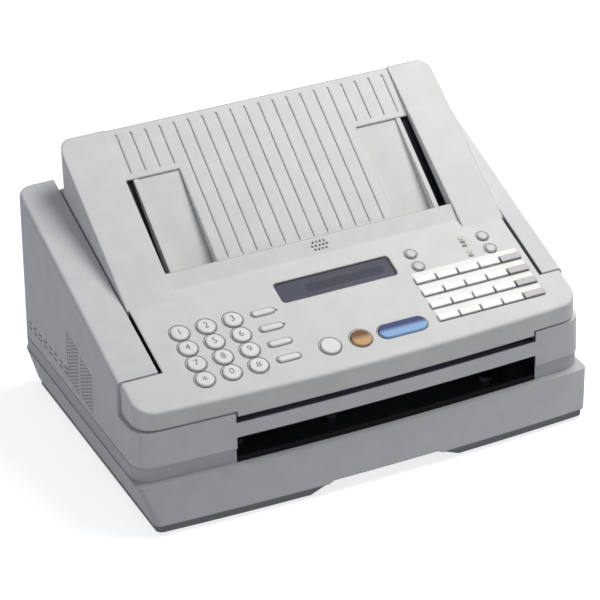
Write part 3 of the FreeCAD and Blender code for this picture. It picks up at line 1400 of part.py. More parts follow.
def tear_bar():
    """Metal strip behind the top of the print slot, against which the page is torn off."""
    body = new_body("tear_bar")
    near = size.front_wall
    low = size.print_slot_top - size.tear_rise
    pad_side(body, [(near, low), (near + size.tear_thickness, low + size.tear_gap),
                    (near + size.tear_thickness, low + size.tear_height), (near, low + size.tear_height)],
             path_left + size.path_play, path_right - size.path_play)


def write_parts():
    doc.recompute()
    faults = [item.Label for item in doc.Objects if {"Invalid", "Error"} & set(item.State)]
    for body in bodies:
        if body.Shape.isNull() or not body.Shape.isValid() or not body.Shape.Solids:
            faults.append(body.Label + " has no valid solid")
    if faults:
        raise RuntimeError("failed: " + ", ".join(faults))
    os.makedirs("parts", exist_ok=True)
    for body in bodies:
        body.Shape.exportStep("parts/%s.step" % body.Label)


for build in (base_case, rear_sockets, rubber_feet, main_board, power_supply, main_housing, hinge_pins,
              top_cover, sounder, keys, one_touch_rows, one_touch_labels, lcd_window, lcd_module,
              indicator_lamps, key_mat, panel_board, panel_back, separation_pad, guide_pinion,
              lower_frame, drive_motor, motor_pinion, exit_roller, feed_roller, platen_roller,
              platen_gear, shaft_bushes, paper_roll, image_sensor, thermal_head, head_springs, tear_bar):
    build()
document_guide(-1, "guide_left")
document_guide(1, "guide_right")
write_parts()
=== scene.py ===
import json
import math

import bpy
from mathutils import Matrix, Vector
from mathutils.bvhtree import BVHTree


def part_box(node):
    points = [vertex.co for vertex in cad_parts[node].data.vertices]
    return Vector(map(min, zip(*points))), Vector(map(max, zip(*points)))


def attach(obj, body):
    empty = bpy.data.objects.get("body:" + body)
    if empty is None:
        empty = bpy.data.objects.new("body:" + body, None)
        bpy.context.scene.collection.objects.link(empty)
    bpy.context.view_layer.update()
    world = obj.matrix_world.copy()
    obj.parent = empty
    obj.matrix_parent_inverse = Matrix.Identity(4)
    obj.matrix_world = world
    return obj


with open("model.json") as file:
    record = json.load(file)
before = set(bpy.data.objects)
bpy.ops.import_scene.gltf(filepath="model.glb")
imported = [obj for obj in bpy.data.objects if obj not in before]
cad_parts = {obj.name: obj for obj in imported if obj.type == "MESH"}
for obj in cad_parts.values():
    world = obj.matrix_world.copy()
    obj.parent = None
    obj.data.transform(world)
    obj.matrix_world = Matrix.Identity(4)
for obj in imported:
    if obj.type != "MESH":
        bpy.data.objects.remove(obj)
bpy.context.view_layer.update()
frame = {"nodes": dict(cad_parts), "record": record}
nodes = frame["nodes"]

# Places of the part, in millimetres.
MM = 0.001
FRONT = -108.5
FRONT_BOW = 5.7 / 180.0 ** 2
PANEL_HEIGHT = 89.7
PANEL_TILT = math.radians(18.8)
TRAY_TILT = math.radians(36.22)
TRAY_DEPTH = 115.0
TRAY_HEIGHT = 125.117
PLINTH_HEIGHT = 8.0
CLEAR = 0.05

# Ranges that are painted: painted shade in the slots, in the gaps and along the window's edges, and the
# display strip, the last key and the lamps; across, up or along, and out of the surface.
SLOT_SIDES = (-104.2, 138.2)
SLOT_HEIGHTS = (12.0, 100.0)
SLOT_DEPTHS = (1.2, 222.0)
UPPER_SLOT_FOOT = 60.0
GUIDE_SLOT_SIDES = ((-107.6, -100.3), (119.3, 126.6))
GUIDE_SLOT_LENGTH = (0.9, 88.1)
GUIDE_SLOT_SINK = (-0.2, -2.0)
PANEL_EDGES = (-144.2, 159.2)
PANEL_EDGE_LENGTH = (37.0, 108.0)
PANEL_EDGE_SINK = (-8.0, -0.4)
DISPLAY_SIDES = (-11.0, 49.0)
DISPLAY_LENGTH = (78.2, 85.0)
WINDOW_BACK = (91.0, 91.6)
WINDOW_RIGHT = (56.0, 57.0)
LAST_KEY_EDGE = (137.2, 137.3)
LAMPS_LENGTH = (70.0, 94.0)

# Marks on the panel and on the left wall: digits, lamp dots, and rings, lines and slot blocks of
# painted shade.
LEGEND_RISE = 1.62
LEGEND_HEIGHT = 7.6
LEGEND_THICKNESS = 0.02
STAR_HEIGHT = 10.0
STAR_DROP = 2.2
# Widths of the rings of painted shade in the gaps round the keys.
NUMBER_SHADE_RING = 0.55
ROUND_SHADE_RING = 0.5
LONG_SHADE_RING = 0.45
FUNCTION_RADIUS = 2.6
START_RADIUS = 6.5
DOT_PLACES = ((-42.3, 68.7), (-42.6, 54.4))
DOT_RADIUS = 0.9
TOUCH_ROWS = 4
TOUCH_GAPS = 4
TOUCH_MIDDLE = 110.5
TOUCH_NEAR = 20.2
TOUCH_ROW_PITCH = 12.9
TOUCH_FIRST_GAP = 83.9
TOUCH_GAP_PITCH = 17.75
# Sizes and places of the painted shade lines at the one-touch keys.
STRIP_HALF = (43.5, 0.4, CLEAR)
STRIP_SETBACK = 0.45
TICK_HALF = (0.45, 1.8, CLEAR)
TICK_OFFSET = 1.4
# Patches of small dark blocks on the left wall: painted shade where the sound slots are.
SOUND_PATCHES = ((115.5, 53.0, 14), (89.0, 51.0, 12))
SOUND_COLUMNS = 6
SOUND_COLUMN_PITCH = 3.95
SOUND_ROW_PITCH = 2.85
SOUND_RISE = 0.18
SOUND_HALF = (1.25, 0.5, CLEAR)

# Colours that are used more than once, or painted over another.
SHELL = (0.69, 0.685, 0.675)
CASE = (0.665, 0.665, 0.67)
# The base's grey, darker than the case's: painted shade standing for the shade on the base's front.
BASE_SHADED = (0.53, 0.53, 0.54)
# Painted shade on the foot of the base, under its leaning front.
PLINTH_SHADE = (0.22, 0.225, 0.235)
# Painted shade: nearly black in the front slots, the guide slots and the gaps beside the panel, and a
# dark bluish grey in the upper slot.
SLOT_AND_GAP_SHADE = (0.007, 0.007, 0.012)
UPPER_SLOT_SHADE = (0.11, 0.11, 0.15)
LAST_KEY = (0.45, 0.43, 0.45)
DISPLAY_STRIP = (0.026, 0.027, 0.052)
# Painted shade along the window's back and right edges.
WINDOW_EDGE_SHADE = (0.003, 0.003, 0.004)
LAMP_STOPS = ((0.0, (0.05, 0.055, 0.035)), (0.18, (0.55, 0.56, 0.33)), (0.41, (0.09, 0.11, 0.05)),
              (0.63, (0.10, 0.11, 0.04)), (0.82, (0.50, 0.54, 0.40)))
# Stop and start keys: their amber and blue, with painted shade at the back edge and painted light at
# the front edge.
STOP_SHADE_AND_LIGHT = ((0.19, 0.085, 0.035), (0.62, 0.37, 0.18))
START_SHADE_AND_LIGHT = ((0.045, 0.065, 0.19), (0.28, 0.46, 0.74))

# Surfaces.
VARIED_FROM, VARIED_TO = 0.3, 0.7
GRAIN_SCALE = 1400.0
GRAIN_DETAIL = 3.0
GRAIN_HEIGHT = 0.1
BEVEL_SAMPLES = 4
# Where the painted light of the stop and start keys ends and where their painted shade is full.
JEWEL_PAINTED_LIGHT_END, JEWEL_PAINTED_SHADE_END = 0.35, 0.62
JEWEL_ROUGHNESS = 0.2
JEWEL_SHINE = 0.06

# Studio, in metres and watts: place, diameter, power and colour of each lamp.
WHITE = (1, 1, 1, 1)
SKY_COLOUR = (0.84, 0.90, 1.0, 1)
SKY_STRENGTH = 0.26
FLOOR_SIZE = 6
FLOOR_HEIGHT = -0.0005
FLOOR_COLOUR = (0.5, 0.5, 0.51, 1)
FLOOR_ROUGHNESS = 0.9
FLOOR_GLOW = 0.78
LAMP_TARGET = (0, 0, 0.1)
LAMPS = {
    "key": ((0.54, -0.02, 1.15), 0.8, 11.8, (1.0, 0.985, 0.965)),
    "fill": ((0.62, -2.0, 0.31), 1.4, 3.6, (1, 1, 1)),
    "left_fill": ((-2.0, -0.5, 0.25), 1.4, 5.4, (0.90, 0.94, 1.0)),
}

# The photo's camera: angles, the point it looks at, focal length and middle in pixels of the photo.
VIEW_AZIMUTH = math.radians(-24.255)
VIEW_HEIGHT = math.radians(29.439)
VIEW_ROLL = math.radians(-1.771)
VIEW_TARGET = (0, 0.0215, 0.08)
VIEW_DISTANCE = 2.2
VIEW_END = 20
PHOTO_SIZE = 600
FOCAL_PIXELS = 2930.7
PHOTO_MIDDLE = (292.468, 295.57)
SENSOR_WIDTH = 36.0


def shader(name):
    """A new material, its node tree and its main shader."""
    material = bpy.data.materials.new(name)
    material.use_nodes = True
    tree = material.node_tree
    return material, tree, tree.nodes["Principled BSDF"]


def link(tree, source, target):
    tree.links.new(source, target)


def noise(tree, scale, detail=2.0, stretch=(1, 1, 1)):
    """Noise in the object's own coordinates, in metres."""
    place = tree.nodes.new("ShaderNodeTexCoord")
    mapping = tree.nodes.new("ShaderNodeMapping")
    mapping.inputs["Scale"].default_value = stretch
    texture = tree.nodes.new("ShaderNodeTexNoise")
    texture.inputs["Scale"].default_value = scale
    texture.inputs["Detail"].default_value = detail
    link(tree, place.outputs["Object"], mapping.inputs["Vector"])
    link(tree, mapping.outputs["Vector"], texture.inputs["Vector"])
    return texture


def varied_colour(tree, colour, texture, amount):
    """A colour that runs from a little darker to a little lighter with a texture."""
    ramp = tree.nodes.new("ShaderNodeValToRGB")
    for element, factor in zip(ramp.color_ramp.elements, (1 - amount, 1 + amount)):
        element.color = [min(1.0, channel * factor) for channel in colour] + [1]
    ramp.color_ramp.elements[0].position = VARIED_FROM
    ramp.color_ramp.elements[1].position = VARIED_TO
    link(tree, texture.outputs["Fac"], ramp.inputs["Fac"])
    return ramp.outputs["Color"]


def slope_place(tree, tilt, depth, height):
    """Sockets for the place on a slope in millimetres: to the right, up the slope and out of it."""
    place = tree.nodes.new("ShaderNodeTexCoord")
    mapping = tree.nodes.new("ShaderNodeMapping")
    mapping.inputs["Scale"].default_value = (1 / MM, 1 / MM, 1 / MM)
    mapping.inputs["Rotation"].default_value = (-tilt, 0, 0)
    foot = Matrix.Rotation(-tilt, 3, "X") @ Vector((0, FRONT + depth, height))
    mapping.inputs["Location"].default_value = -foot
    split = tree.nodes.new("ShaderNodeSeparateXYZ")
    link(tree, place.outputs["Object"], mapping.inputs["Vector"])
    link(tree, mapping.outputs["Vector"], split.inputs["Vector"])
    return split.outputs["X"], split.outputs["Y"], split.outputs["Z"]


def upright_place(tree):
    """Sockets for the place to the right, behind the front and above the ground."""
    return slope_place(tree, 0.0, 0.0, 0.0)


def panel_place(tree):
    """Sockets for the place on the key panel: to the right, up the slope and out of it."""
    return slope_place(tree, PANEL_TILT, 0.0, PANEL_HEIGHT)


def step(tree, value, low, high):
    """0 below low, 1 above high, and a smooth run between; low may be the larger one."""
    span = tree.nodes.new("ShaderNodeMapRange")
    span.inputs["From Min"].default_value = low
    span.inputs["From Max"].default_value = high
    link(tree, value, span.inputs["Value"])
    return span.outputs["Result"]


def product(tree, factors):
    """The product of several sockets."""
    result = factors[0]
    for factor in factors[1:]:
        multiply = tree.nodes.new("ShaderNodeMath")
        multiply.operation = "MULTIPLY"
        link(tree, result, multiply.inputs[0])
        link(tree, factor, multiply.inputs[1])
        result = multiply.outputs["Value"]
    return result


def between(tree, value, low, high, run):
    """1 from low to high and 0 outside, with a short run at both ends."""
    return product(tree, [step(tree, value, low - run, low), step(tree, value, high + run, high)])


def painted(tree, under, over, mask):
    """The colour over laid on the colour socket under where the mask is 1."""
    mix = tree.nodes.new("ShaderNodeMix")
    mix.data_type = "RGBA"
    link(tree, mask, mix.inputs["Factor"])
    link(tree, under, mix.inputs["A"])
    mix.inputs["B"].default_value = list(over) + [1]
    return mix.outputs["Result"]


def finish_material(name, colour, roughness, grain=0.0, metallic=0.0, variation=0.03, scale=60.0,
                    edge=0.0, stretch=(1, 1, 1), paint=None, shine=0.5):
    """Plastic, rubber or metal with slight colour variation, surface grain and softened edges."""
    material, tree, main = shader(name)
    texture = noise(tree, scale, stretch=stretch)
    base = varied_colour(tree, colour, texture, variation)
    if paint:
        base = paint(tree, base)
    link(tree, base, main.inputs["Base Color"])
    main.inputs["Roughness"].default_value = roughness
    main.inputs["Metallic"].default_value = metallic
    main.inputs["Specular IOR Level"].default_value = shine
    normal = None
    if edge:
        soften = tree.nodes.new("ShaderNodeBevel")
        soften.samples = BEVEL_SAMPLES
        soften.inputs["Radius"].default_value = edge * MM
        normal = soften.outputs["Normal"]
    if grain:
        fine = noise(tree, GRAIN_SCALE, GRAIN_DETAIL, stretch)
        bump = tree.nodes.new("ShaderNodeBump")
        bump.inputs["Strength"].default_value = grain
        bump.inputs["Distance"].default_value = GRAIN_HEIGHT * MM
        link(tree, fine.outputs["Fac"], bump.inputs["Height"])
        if normal:
            link(tree, normal, bump.inputs["Normal"])
        normal = bump.outputs["Normal"]
    if normal:
        link(tree, normal, main.inputs["Normal"])
    return material


def slot_shade(tree, base):
    """Painted shade inside the front slots: the case is painted nearly black there, a little behind its
    bowed front face, and a dark bluish grey in the upper slot.
    """
    across, depth, height = upright_place(tree)
    bow = tree.nodes.new("ShaderNodeMath")
    bow.operation = "MULTIPLY_ADD"
    bow.inputs[1].default_value = -FRONT_BOW
    link(tree, product(tree, [across, across]), bow.inputs[0])
    link(tree, depth, bow.inputs[2])
    mask = product(tree, [between(tree, across, *SLOT_SIDES, 0.2),
                          between(tree, height, *SLOT_HEIGHTS, 1.0),
                          between(tree, bow.outputs["Value"], *SLOT_DEPTHS, 0.5)])
    base = painted(tree, base, SLOT_AND_GAP_SHADE, mask)
    upper = step(tree, height, UPPER_SLOT_FOOT, UPPER_SLOT_FOOT + 1.0)
    return painted(tree, base, UPPER_SLOT_SHADE, product(tree, [mask, upper]))


def plinth_and_slot_shade(tree, base):
    """The foot of the base, below its leaning front, is painted a darker grey as painted shade under
    the front's overhang, and the slots get their painted shade too.
    """
    _, _, height = upright_place(tree)
    below = step(tree, height, PLINTH_HEIGHT, PLINTH_HEIGHT - CLEAR)
    return slot_shade(tree, painted(tree, base, PLINTH_SHADE, below))


def guide_and_panel_gap_shade(tree, base):
    """Painted shade on the cover: nearly black in the slots beside the guides' walls and in the gaps
    beside the panel.
    """
    across, up, out = slope_place(tree, TRAY_TILT, TRAY_DEPTH, TRAY_HEIGHT)
    sunk = product(tree, [step(tree, out, *GUIDE_SLOT_SINK),
                          between(tree, up, *GUIDE_SLOT_LENGTH, 0.1)])
    for low, high in GUIDE_SLOT_SIDES:
        mask = product(tree, [sunk, between(tree, across, low, high, 0.1)])
        base = painted(tree, base, SLOT_AND_GAP_SHADE, mask)
    across, up, out = panel_place(tree)
    beside = product(tree, [between(tree, out, *PANEL_EDGE_SINK, 0.3),
                            between(tree, up, *PANEL_EDGE_LENGTH, 0.5)])
    for edge in PANEL_EDGES:
        mask = product(tree, [beside, between(tree, across, edge - 0.1, edge + 0.1, 0.05)])
        base = painted(tree, base, SLOT_AND_GAP_SHADE, mask)
    return base


def grey_last_key(tree, base):
    """The last key of each one-touch row is greyer than the others."""
    across, _, _ = panel_place(tree)
    return painted(tree, base, LAST_KEY, step(tree, across, *LAST_KEY_EDGE))


def lamp_colours(tree, _):
    """Five lamps up the panel, two lit from behind and three dark."""
    _, up, _ = panel_place(tree)
    ramp = tree.nodes.new("ShaderNodeValToRGB")
    ramp.color_ramp.interpolation = "CONSTANT"
    for position, _ in LAMP_STOPS[2:]:
        ramp.color_ramp.elements.new(position)
    for element, (position, colour) in zip(ramp.color_ramp.elements, LAMP_STOPS):
        element.position = position
        element.color = list(colour) + [1]
    link(tree, step(tree, up, *LAMPS_LENGTH), ramp.inputs["Fac"])
    return ramp.outputs["Color"]


def display_strip_and_edge_shade(tree, base):
    """A darker strip where the display shows, and painted shade of the recess walls in black along the
    back and right edges.
    """
    across, up, _ = panel_place(tree)
    strip = product(tree, [between(tree, across, *DISPLAY_SIDES, 2.0),
                           between(tree, up, *DISPLAY_LENGTH, 1.0)])
    base = painted(tree, base, DISPLAY_STRIP, strip)
    base = painted(tree, base, WINDOW_EDGE_SHADE, step(tree, up, *WINDOW_BACK))
    return painted(tree, base, WINDOW_EDGE_SHADE, step(tree, across, *WINDOW_RIGHT))


FINISHES = {
    # The paint of the case, the base and the cover is painted shade in slots, in gaps and on the base's
    # foot.
    "case": dict(colour=CASE, roughness=0.55, grain=0.25, edge=1.2, shine=0.12, paint=slot_shade),
    # The base's darker grey is painted shade.
    "base": dict(colour=BASE_SHADED, roughness=0.55, grain=0.25, edge=1.2, shine=0.12, paint=plinth_and_slot_shade),
    "cover": dict(colour=SHELL, roughness=0.55, grain=0.25, edge=2.5, shine=0.2, paint=guide_and_panel_gap_shade),
    "guide": dict(colour=SHELL, roughness=0.55, grain=0.25, edge=0.8, shine=0.2),
    "number_key": dict(colour=(0.73, 0.725, 0.71), roughness=0.35, edge=1.0),
    "function_key": dict(colour=(0.68, 0.675, 0.665), roughness=0.35, edge=0.8),
    "mode_key": dict(colour=(0.52, 0.515, 0.515), roughness=0.3, edge=1.0),
    "touch_key": dict(colour=(0.88, 0.875, 0.845), roughness=0.4, edge=0.5, paint=grey_last_key),
    "foot_rubber": dict(colour=(0.03, 0.03, 0.03), roughness=0.8, grain=0.3),
    "frame": dict(colour=(0.006, 0.007, 0.011), roughness=0.6, grain=0.2, shine=0.15),
    "sensor": dict(colour=(0.006, 0.007, 0.011), roughness=0.3, shine=0.2),
    "head": dict(colour=(0.6, 0.6, 0.61), roughness=0.35, metallic=1.0, stretch=(1, 20, 20)),
    "spring_steel": dict(colour=(0.5, 0.5, 0.49), roughness=0.3, metallic=1.0),
    "bright_steel": dict(colour=(0.42, 0.42, 0.43), roughness=0.4, metallic=1.0, stretch=(1, 20, 20)),
    "board": dict(colour=(0.02, 0.16, 0.06), roughness=0.3, variation=0.15, scale=200.0),
    "sheet_steel": dict(colour=(0.55, 0.56, 0.57), roughness=0.35, metallic=1.0, variation=0.08),
    "socket": dict(colour=(0.02, 0.02, 0.02), roughness=0.35, edge=0.5),
    "motor_can": dict(colour=(0.5, 0.5, 0.5), roughness=0.3, metallic=1.0, stretch=(20, 1, 1)),
    "bush": dict(colour=(0.5, 0.36, 0.17), roughness=0.4, metallic=1.0),
    "gear_plastic": dict(colour=(0.75, 0.73, 0.66), roughness=0.4),
    "platen_rubber": dict(colour=(0.035, 0.035, 0.035), roughness=0.7),
    "roller": dict(colour=(0.02, 0.02, 0.024), roughness=0.6),
    "paper": dict(colour=(0.85, 0.84, 0.8), roughness=0.7, variation=0.04, scale=800.0,
                  stretch=(1, 0.05, 0.05)),
    "display": dict(colour=(0.06, 0.065, 0.075), roughness=0.3),
    "lamp": dict(colour=(0.16, 0.17, 0.12), roughness=0.25, paint=lamp_colours),
    "label": dict(colour=(0.84, 0.84, 0.80), roughness=0.5),
    "mat": dict(colour=(0.4, 0.4, 0.41), roughness=0.6),
    "sounder": dict(colour=(0.5, 0.38, 0.15), roughness=0.3, metallic=1.0),
    "pad_rubber": dict(colour=(0.22, 0.1, 0.05), roughness=0.8),
    # The window's black back and right edges are painted shade.
    "window": dict(colour=(0.056, 0.055, 0.088), roughness=0.3, variation=0.12, shine=0.15,
                   paint=display_strip_and_edge_shade),
    "ink": dict(colour=(0.12, 0.12, 0.13), roughness=0.6),
    # Dark colour of the rings and lines of painted shade round the keys, and of the real lamp dots.
    "gap_shade_and_dots": dict(colour=(0.10, 0.095, 0.09), roughness=0.7),
    # Dark colour of the blocks of painted shade at the sound slots.
    "hole_shade": dict(colour=(0.05, 0.05, 0.06), roughness=0.8),
}


def on_panel(name):
    """A node's middle on the panel: to the right and up the slope, in millimetres."""
    low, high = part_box(name)
    middle = (Vector(low) + Vector(high)) / 2 / MM - Vector((0, FRONT, PANEL_HEIGHT))
    place = Matrix.Rotation(-PANEL_TILT, 3, "X") @ middle
    return place.x, place.y


def half_width(name):
    """Half of a node's width, in millimetres."""
    low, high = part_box(name)
    return (high[0] - low[0]) / 2 / MM


def jewel_light_and_shade(name, colours, radius):
    """Clear coloured plastic with painted light and shade: dark at its back edge and light at its front
    edge.
    """
    material, tree, main = shader(name)
    dark, light = colours
    ramp = tree.nodes.new("ShaderNodeValToRGB")
    ramp.color_ramp.elements[0].color = list(light) + [1]
    ramp.color_ramp.elements[1].color = list(dark) + [1]
    ramp.color_ramp.elements[0].position = JEWEL_PAINTED_LIGHT_END
    ramp.color_ramp.elements[1].position = JEWEL_PAINTED_SHADE_END
    _, middle = on_panel(name)
    _, up, _ = panel_place(tree)
    link(tree, step(tree, up, middle - radius, middle + radius), ramp.inputs["Fac"])
    link(tree, ramp.outputs["Color"], main.inputs["Base Color"])
    main.inputs["Roughness"].default_value = JEWEL_ROUGHNESS
    main.inputs["Specular IOR Level"].default_value = JEWEL_SHINE
    return material


def build_materials():
    """Every finish by its name."""
    made = {name: finish_material(name, **values) for name, values in FINISHES.items()}
    made["stop_key"] = jewel_light_and_shade("stop_key", STOP_SHADE_AND_LIGHT, half_width("stop_key"))
    made["start_key"] = jewel_light_and_shade("start_key", START_SHADE_AND_LIGHT, START_RADIUS)
    return made


def dress_nodes():
    """Each CAD node gets the finish of its slot in the record, or one of its own."""
    slot_of = {entry["node"]: entry["material_slot"] for entry in frame["record"]["subparts"]}
    slot_of["base_case"] = "base"
    slot_of.update({"mode_key_%d" % number: "mode_key" for number in range(1, 5)})
    for name, node in nodes.items():
        node.data.materials.clear()
        node.data.materials.append(materials[slot_of[name]])


def panel_matrix(x, up, out):
    """Place on the panel, in millimetres: x to the right, up the slope, out of the face."""
    turn = Matrix.Rotation(PANEL_TILT, 4, "X")
    place = Vector((x, FRONT, PANEL_HEIGHT)) + turn.to_3x3() @ Vector((0, up, out))
    return Matrix.Translation(place * MM) @ turn


def new_piece(name, mesh, material, body):
    """Shows a mesh that is in its place, with a material, riding on a body."""
    piece = bpy.data.objects.new(name, mesh)
    bpy.context.scene.collection.objects.link(piece)
    mesh.materials.clear()
    mesh.materials.append(materials[material])
    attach(piece, body)


def mesh_from(name, points, faces):
    """A checked mesh of points and faces."""
    mesh = bpy.data.meshes.new(name)
    mesh.from_pydata(points, [], faces)
    mesh.validate()
    mesh.update()
    return mesh


def legend(text, x, up, height, body):
    """Printed characters, as a thin mesh on a key."""
    curve = bpy.data.curves.new("legend", "FONT")
    curve.body = text
    curve.align_x = "CENTER"
    curve.align_y = "CENTER"
    curve.size = height * MM
    curve.extrude = LEGEND_THICKNESS * MM
    piece = bpy.data.objects.new("legend", curve)
    bpy.context.scene.collection.objects.link(piece)
    piece.matrix_world = panel_matrix(x, up, LEGEND_RISE)
    bpy.context.view_layer.update()
    mesh = bpy.data.meshes.new_from_object(piece)
    mesh.transform(piece.matrix_world)
    bpy.data.objects.remove(piece)
    new_piece("legend_" + body, mesh, "ink", body)


def capsule(half, radius, count=24):
    """Points of a circle, or of two half circles a length apart, in millimetres, counterclockwise."""
    points = []
    for index in range(2 * count):
        angle = math.pi * (index + 0.5) / count
        side = half if math.cos(angle) > 0 else -half
        points.append((side + radius * math.cos(angle), radius * math.sin(angle)))
    return points


def gap_shade_and_dots(name, radius, width, half=0):
    """Painted shade in the gap round a key: a thin dark closed ring on the panel."""
    inner = capsule(half, radius + CLEAR)
    outer = capsule(half, radius + CLEAR + width)
    count = len(inner)
    place = panel_matrix(*on_panel(name), 0)
    loops = [(inner, -CLEAR), (outer, -CLEAR), (outer, CLEAR), (inner, CLEAR)]
    points = [place @ (Vector((a, b, height)) * MM) for loop, height in loops for a, b in loop]
    faces = []
    for loop in range(len(loops)):
        for index in range(count):
            following = (index + 1) % count
            nearby = (loop + 1) % len(loops)
            faces.append((loop * count + index, nearby * count + index,
                          nearby * count + following, loop * count + following))
    new_piece("key_gap_shade_" + name, mesh_from("gap_shade_and_dots", points, faces), "gap_shade_and_dots", "cover")


def blocks(matrices, half):
    """Points and faces of equal closed blocks, one for each place."""
    square = ((-1, -1), (1, -1), (1, 1), (-1, 1))
    corners = [Vector((x, y, z)) for z in (-1, 1) for x, y in square]
    sides = ((3, 2, 1, 0), (4, 5, 6, 7), (0, 1, 5, 4), (1, 2, 6, 5), (2, 3, 7, 6), (3, 0, 4, 7))
    points, faces = [], []
    for matrix in matrices:
        first = len(points)
        points += [matrix @ Vector([c * h * MM for c, h in zip(corner, half)]) for corner in corners]
        faces += [tuple(first + index for index in side) for side in sides]
    return points, faces


def key_marks():
    """Digits on the number keys and a ring of painted shade round every key."""
    signs = {"star": "*", "hash": "#"}
    for name in ("1", "2", "3", "4", "5", "6", "7", "8", "9", "star", "0", "hash"):
        key = "key_" + name
        x, up = on_panel(key)
        height = LEGEND_HEIGHT
        if name == "star":
            up, height = up - STAR_DROP, STAR_HEIGHT
        legend(signs.get(name, name), x, up, height, key + "_body")
        gap_shade_and_dots(key, half_width(key), NUMBER_SHADE_RING)
    for name in ["copy_key", "stop_key"] + ["mode_key_%d" % number for number in range(1, 5)]:
        gap_shade_and_dots(name, half_width(name), ROUND_SHADE_RING)
    long_keys = {"function_key_%d" % number: FUNCTION_RADIUS for number in range(1, 5)}
    long_keys["start_key"] = START_RADIUS
    for name, radius in long_keys.items():
        gap_shade_and_dots(name, radius, LONG_SHADE_RING, half_width(name) - radius)


def disc(x, up, radius):
    """Points and faces of a thin closed disc on the panel."""
    ring = capsule(0, radius, 12)
    count = len(ring)
    place = panel_matrix(x, up, 0)
    points = [place @ (Vector((a, b, height)) * MM) for height in (-CLEAR, CLEAR) for a, b in ring]
    faces = [tuple(reversed(range(count))), tuple(range(count, 2 * count))]
    for index in range(count):
        following = (index + 1) % count
        faces.append((index, following, following + count, index + count))
    return points, faces


def lamp_dots():
    """Small dark lamps flush with the panel, beside the first two long keys."""
    for number, (x, up) in enumerate(DOT_PLACES, 1):
        new_piece("lamp_dot_%d" % number, mesh_from("dot", *disc(x, up, DOT_RADIUS)), "gap_shade_and_dots", "cover")


def touch_gap_shade():
    """Painted shade in the gaps in front of the one-touch rows and between their keys: thin dark lines
    on the panel.
    """
    strips, ticks = [], []
    for row in range(TOUCH_ROWS):
        near = TOUCH_NEAR + TOUCH_ROW_PITCH * row
        strips.append(panel_matrix(TOUCH_MIDDLE, near - STRIP_SETBACK, 0))
        ticks += [panel_matrix(TOUCH_FIRST_GAP + TOUCH_GAP_PITCH * gap, near + TICK_OFFSET, 0)
                  for gap in range(TOUCH_GAPS)]
    new_piece("touch_front_gap_shade", mesh_from("lines", *blocks(strips, STRIP_HALF)), "gap_shade_and_dots", "cover")
    new_piece("touch_between_gap_shade", mesh_from("lines", *blocks(ticks, TICK_HALF)), "gap_shade_and_dots", "cover")


def surface(name):
    """A node's faces, for finding the place of small marks on it."""
    mesh = nodes[name].data
    return BVHTree.FromPolygons([vertex.co for vertex in mesh.vertices],
                                [tuple(face.vertices) for face in mesh.polygons])


def speaker_slot_shade():
    """Two patches of small sound slots in the left wall, drawn as thin dark blocks on its face: painted
    shade of the holes.
    """
    wall = surface("main_housing")
    along = Vector((0, 1, 0))
    inward = Vector((1, 0, 0))
    outside = -0.3
    places = []
    for start, low, rows in SOUND_PATCHES:
        for column in range(SOUND_COLUMNS):
            for row in range(rows):
                depth = start + SOUND_COLUMN_PITCH * column
                height = low + SOUND_ROW_PITCH * row + SOUND_RISE * SOUND_COLUMN_PITCH * column
                origin = Vector((outside, (FRONT + depth) * MM, height * MM))
                spot, normal, _, _ = wall.ray_cast(origin, inward)
                up = normal.cross(along).normalized()
                turn = Matrix((along, up, normal)).transposed().to_4x4()
                places.append(Matrix.Translation(spot) @ turn)
    new_piece("speaker_slot_shade", mesh_from("slots", *blocks(places, SOUND_HALF)), "hole_shade", "chassis")


def area_light(name, place, size, power, colour):
    """A round lamp that shines at the part."""
    data = bpy.data.lights.new(name, "AREA")
    data.shape = "DISK"
    data.size = size
    data.energy = power
    data.color = colour
    lamp = bpy.data.objects.new(name, data)
    lamp.location = place
    lamp.rotation_euler = (Vector(LAMP_TARGET) - Vector(place)).to_track_quat("-Z", "Y").to_euler()
    bpy.context.scene.collection.objects.link(lamp)


def seen_directly(tree):
    """1 for rays that come straight from the camera or by way of a mirror or glass, 0 for light."""
    path = tree.nodes.new("ShaderNodeLightPath")
    result = path.outputs["Is Camera Ray"]
    for kind in ("Is Glossy Ray", "Is Transmission Ray"):
        either = tree.nodes.new("ShaderNodeMath")
        either.operation = "MAXIMUM"
        link(tree, result, either.inputs[0])
        link(tree, path.outputs[kind], either.inputs[1])
        result = either.outputs["Value"]
    return result


def surroundings():
    """A world that looks white and gives a weak bluish light."""
    world = bpy.context.scene.world or bpy.data.worlds.new("studio")
    bpy.context.scene.world = world
    world.use_nodes = True
    tree = world.node_tree
    tree.nodes.clear()
    output = tree.nodes.new("ShaderNodeOutputWorld")
    mix = tree.nodes.new("ShaderNodeMixShader")
    light = tree.nodes.new("ShaderNodeBackground")
    light.inputs["Color"].default_value = SKY_COLOUR
    light.inputs["Strength"].default_value = SKY_STRENGTH
    white = tree.nodes.new("ShaderNodeBackground")
    white.inputs["Color"].default_value = WHITE
    link(tree, seen_directly(tree), mix.inputs["Fac"])
    link(tree, light.outputs["Background"], mix.inputs[1])
    link(tree, white.outputs["Background"], mix.inputs[2])
    link(tree, mix.outputs["Shader"], output.inputs["Surface"])


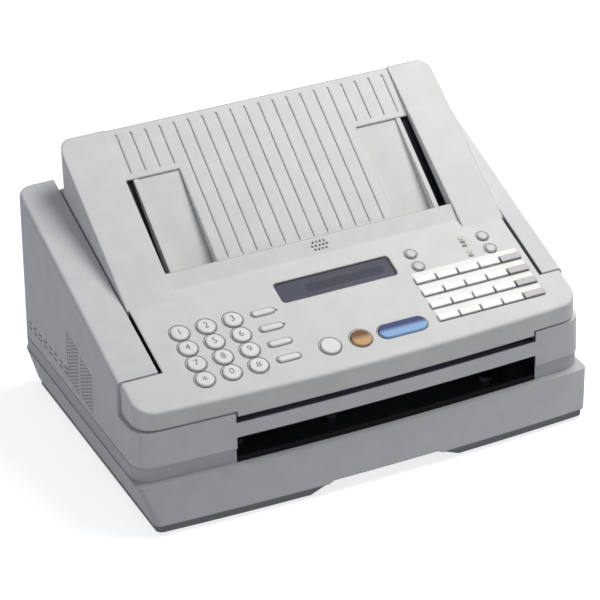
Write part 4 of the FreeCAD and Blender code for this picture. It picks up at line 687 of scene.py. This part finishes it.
def ground():
    """A pale floor that looks white and keeps the part's soft shadow."""
    bpy.ops.mesh.primitive_plane_add(size=FLOOR_SIZE, location=(0, 0, FLOOR_HEIGHT))
    floor = bpy.context.object
    floor.name = "floor"
    material, tree, main = shader("floor")
    main.inputs["Base Color"].default_value = FLOOR_COLOUR
    main.inputs["Roughness"].default_value = FLOOR_ROUGHNESS
    main.inputs["Emission Color"].default_value = WHITE
    glow = tree.nodes.new("ShaderNodeMath")
    glow.operation = "MULTIPLY"
    glow.inputs[1].default_value = FLOOR_GLOW
    link(tree, seen_directly(tree), glow.inputs[0])
    link(tree, glow.outputs["Value"], main.inputs["Emission Strength"])
    floor.data.materials.append(material)


def studio():
    """White ground and surroundings, a soft light overhead and weak fills from the front and left."""
    surroundings()
    ground()
    for name, (place, size, power, colour) in LAMPS.items():
        area_light(name, place, size, power, colour)


def camera():
    """The photo's view, from the left front and above."""
    back = Vector((math.sin(VIEW_AZIMUTH) * math.cos(VIEW_HEIGHT),
                   -math.cos(VIEW_AZIMUTH) * math.cos(VIEW_HEIGHT), math.sin(VIEW_HEIGHT)))
    right = (-back).cross(Vector((0, 0, 1))).normalized()
    up = right.cross(-back)
    turned_right = right * math.cos(VIEW_ROLL) + up * math.sin(VIEW_ROLL)
    turned_up = up * math.cos(VIEW_ROLL) - right * math.sin(VIEW_ROLL)
    data = bpy.data.cameras.new("camera")
    data.sensor_width = SENSOR_WIDTH
    data.lens = FOCAL_PIXELS * SENSOR_WIDTH / PHOTO_SIZE
    data.shift_x = (PHOTO_SIZE / 2 - PHOTO_MIDDLE[0]) / PHOTO_SIZE
    data.shift_y = (PHOTO_MIDDLE[1] - PHOTO_SIZE / 2) / PHOTO_SIZE
    data.clip_end = VIEW_END
    view = bpy.data.objects.new("camera", data)
    place = Vector(VIEW_TARGET) + back * VIEW_DISTANCE
    turn = Matrix((turned_right, turned_up, back)).transposed().to_4x4()
    view.matrix_world = Matrix.Translation(place) @ turn
    bpy.context.scene.collection.objects.link(view)
    bpy.context.scene.camera = view


materials = build_materials()
dress_nodes()
key_marks()
lamp_dots()
touch_gap_shade()
speaker_slot_shade()
studio()
camera()
bpy.context.scene.view_settings.view_transform = "Standard"
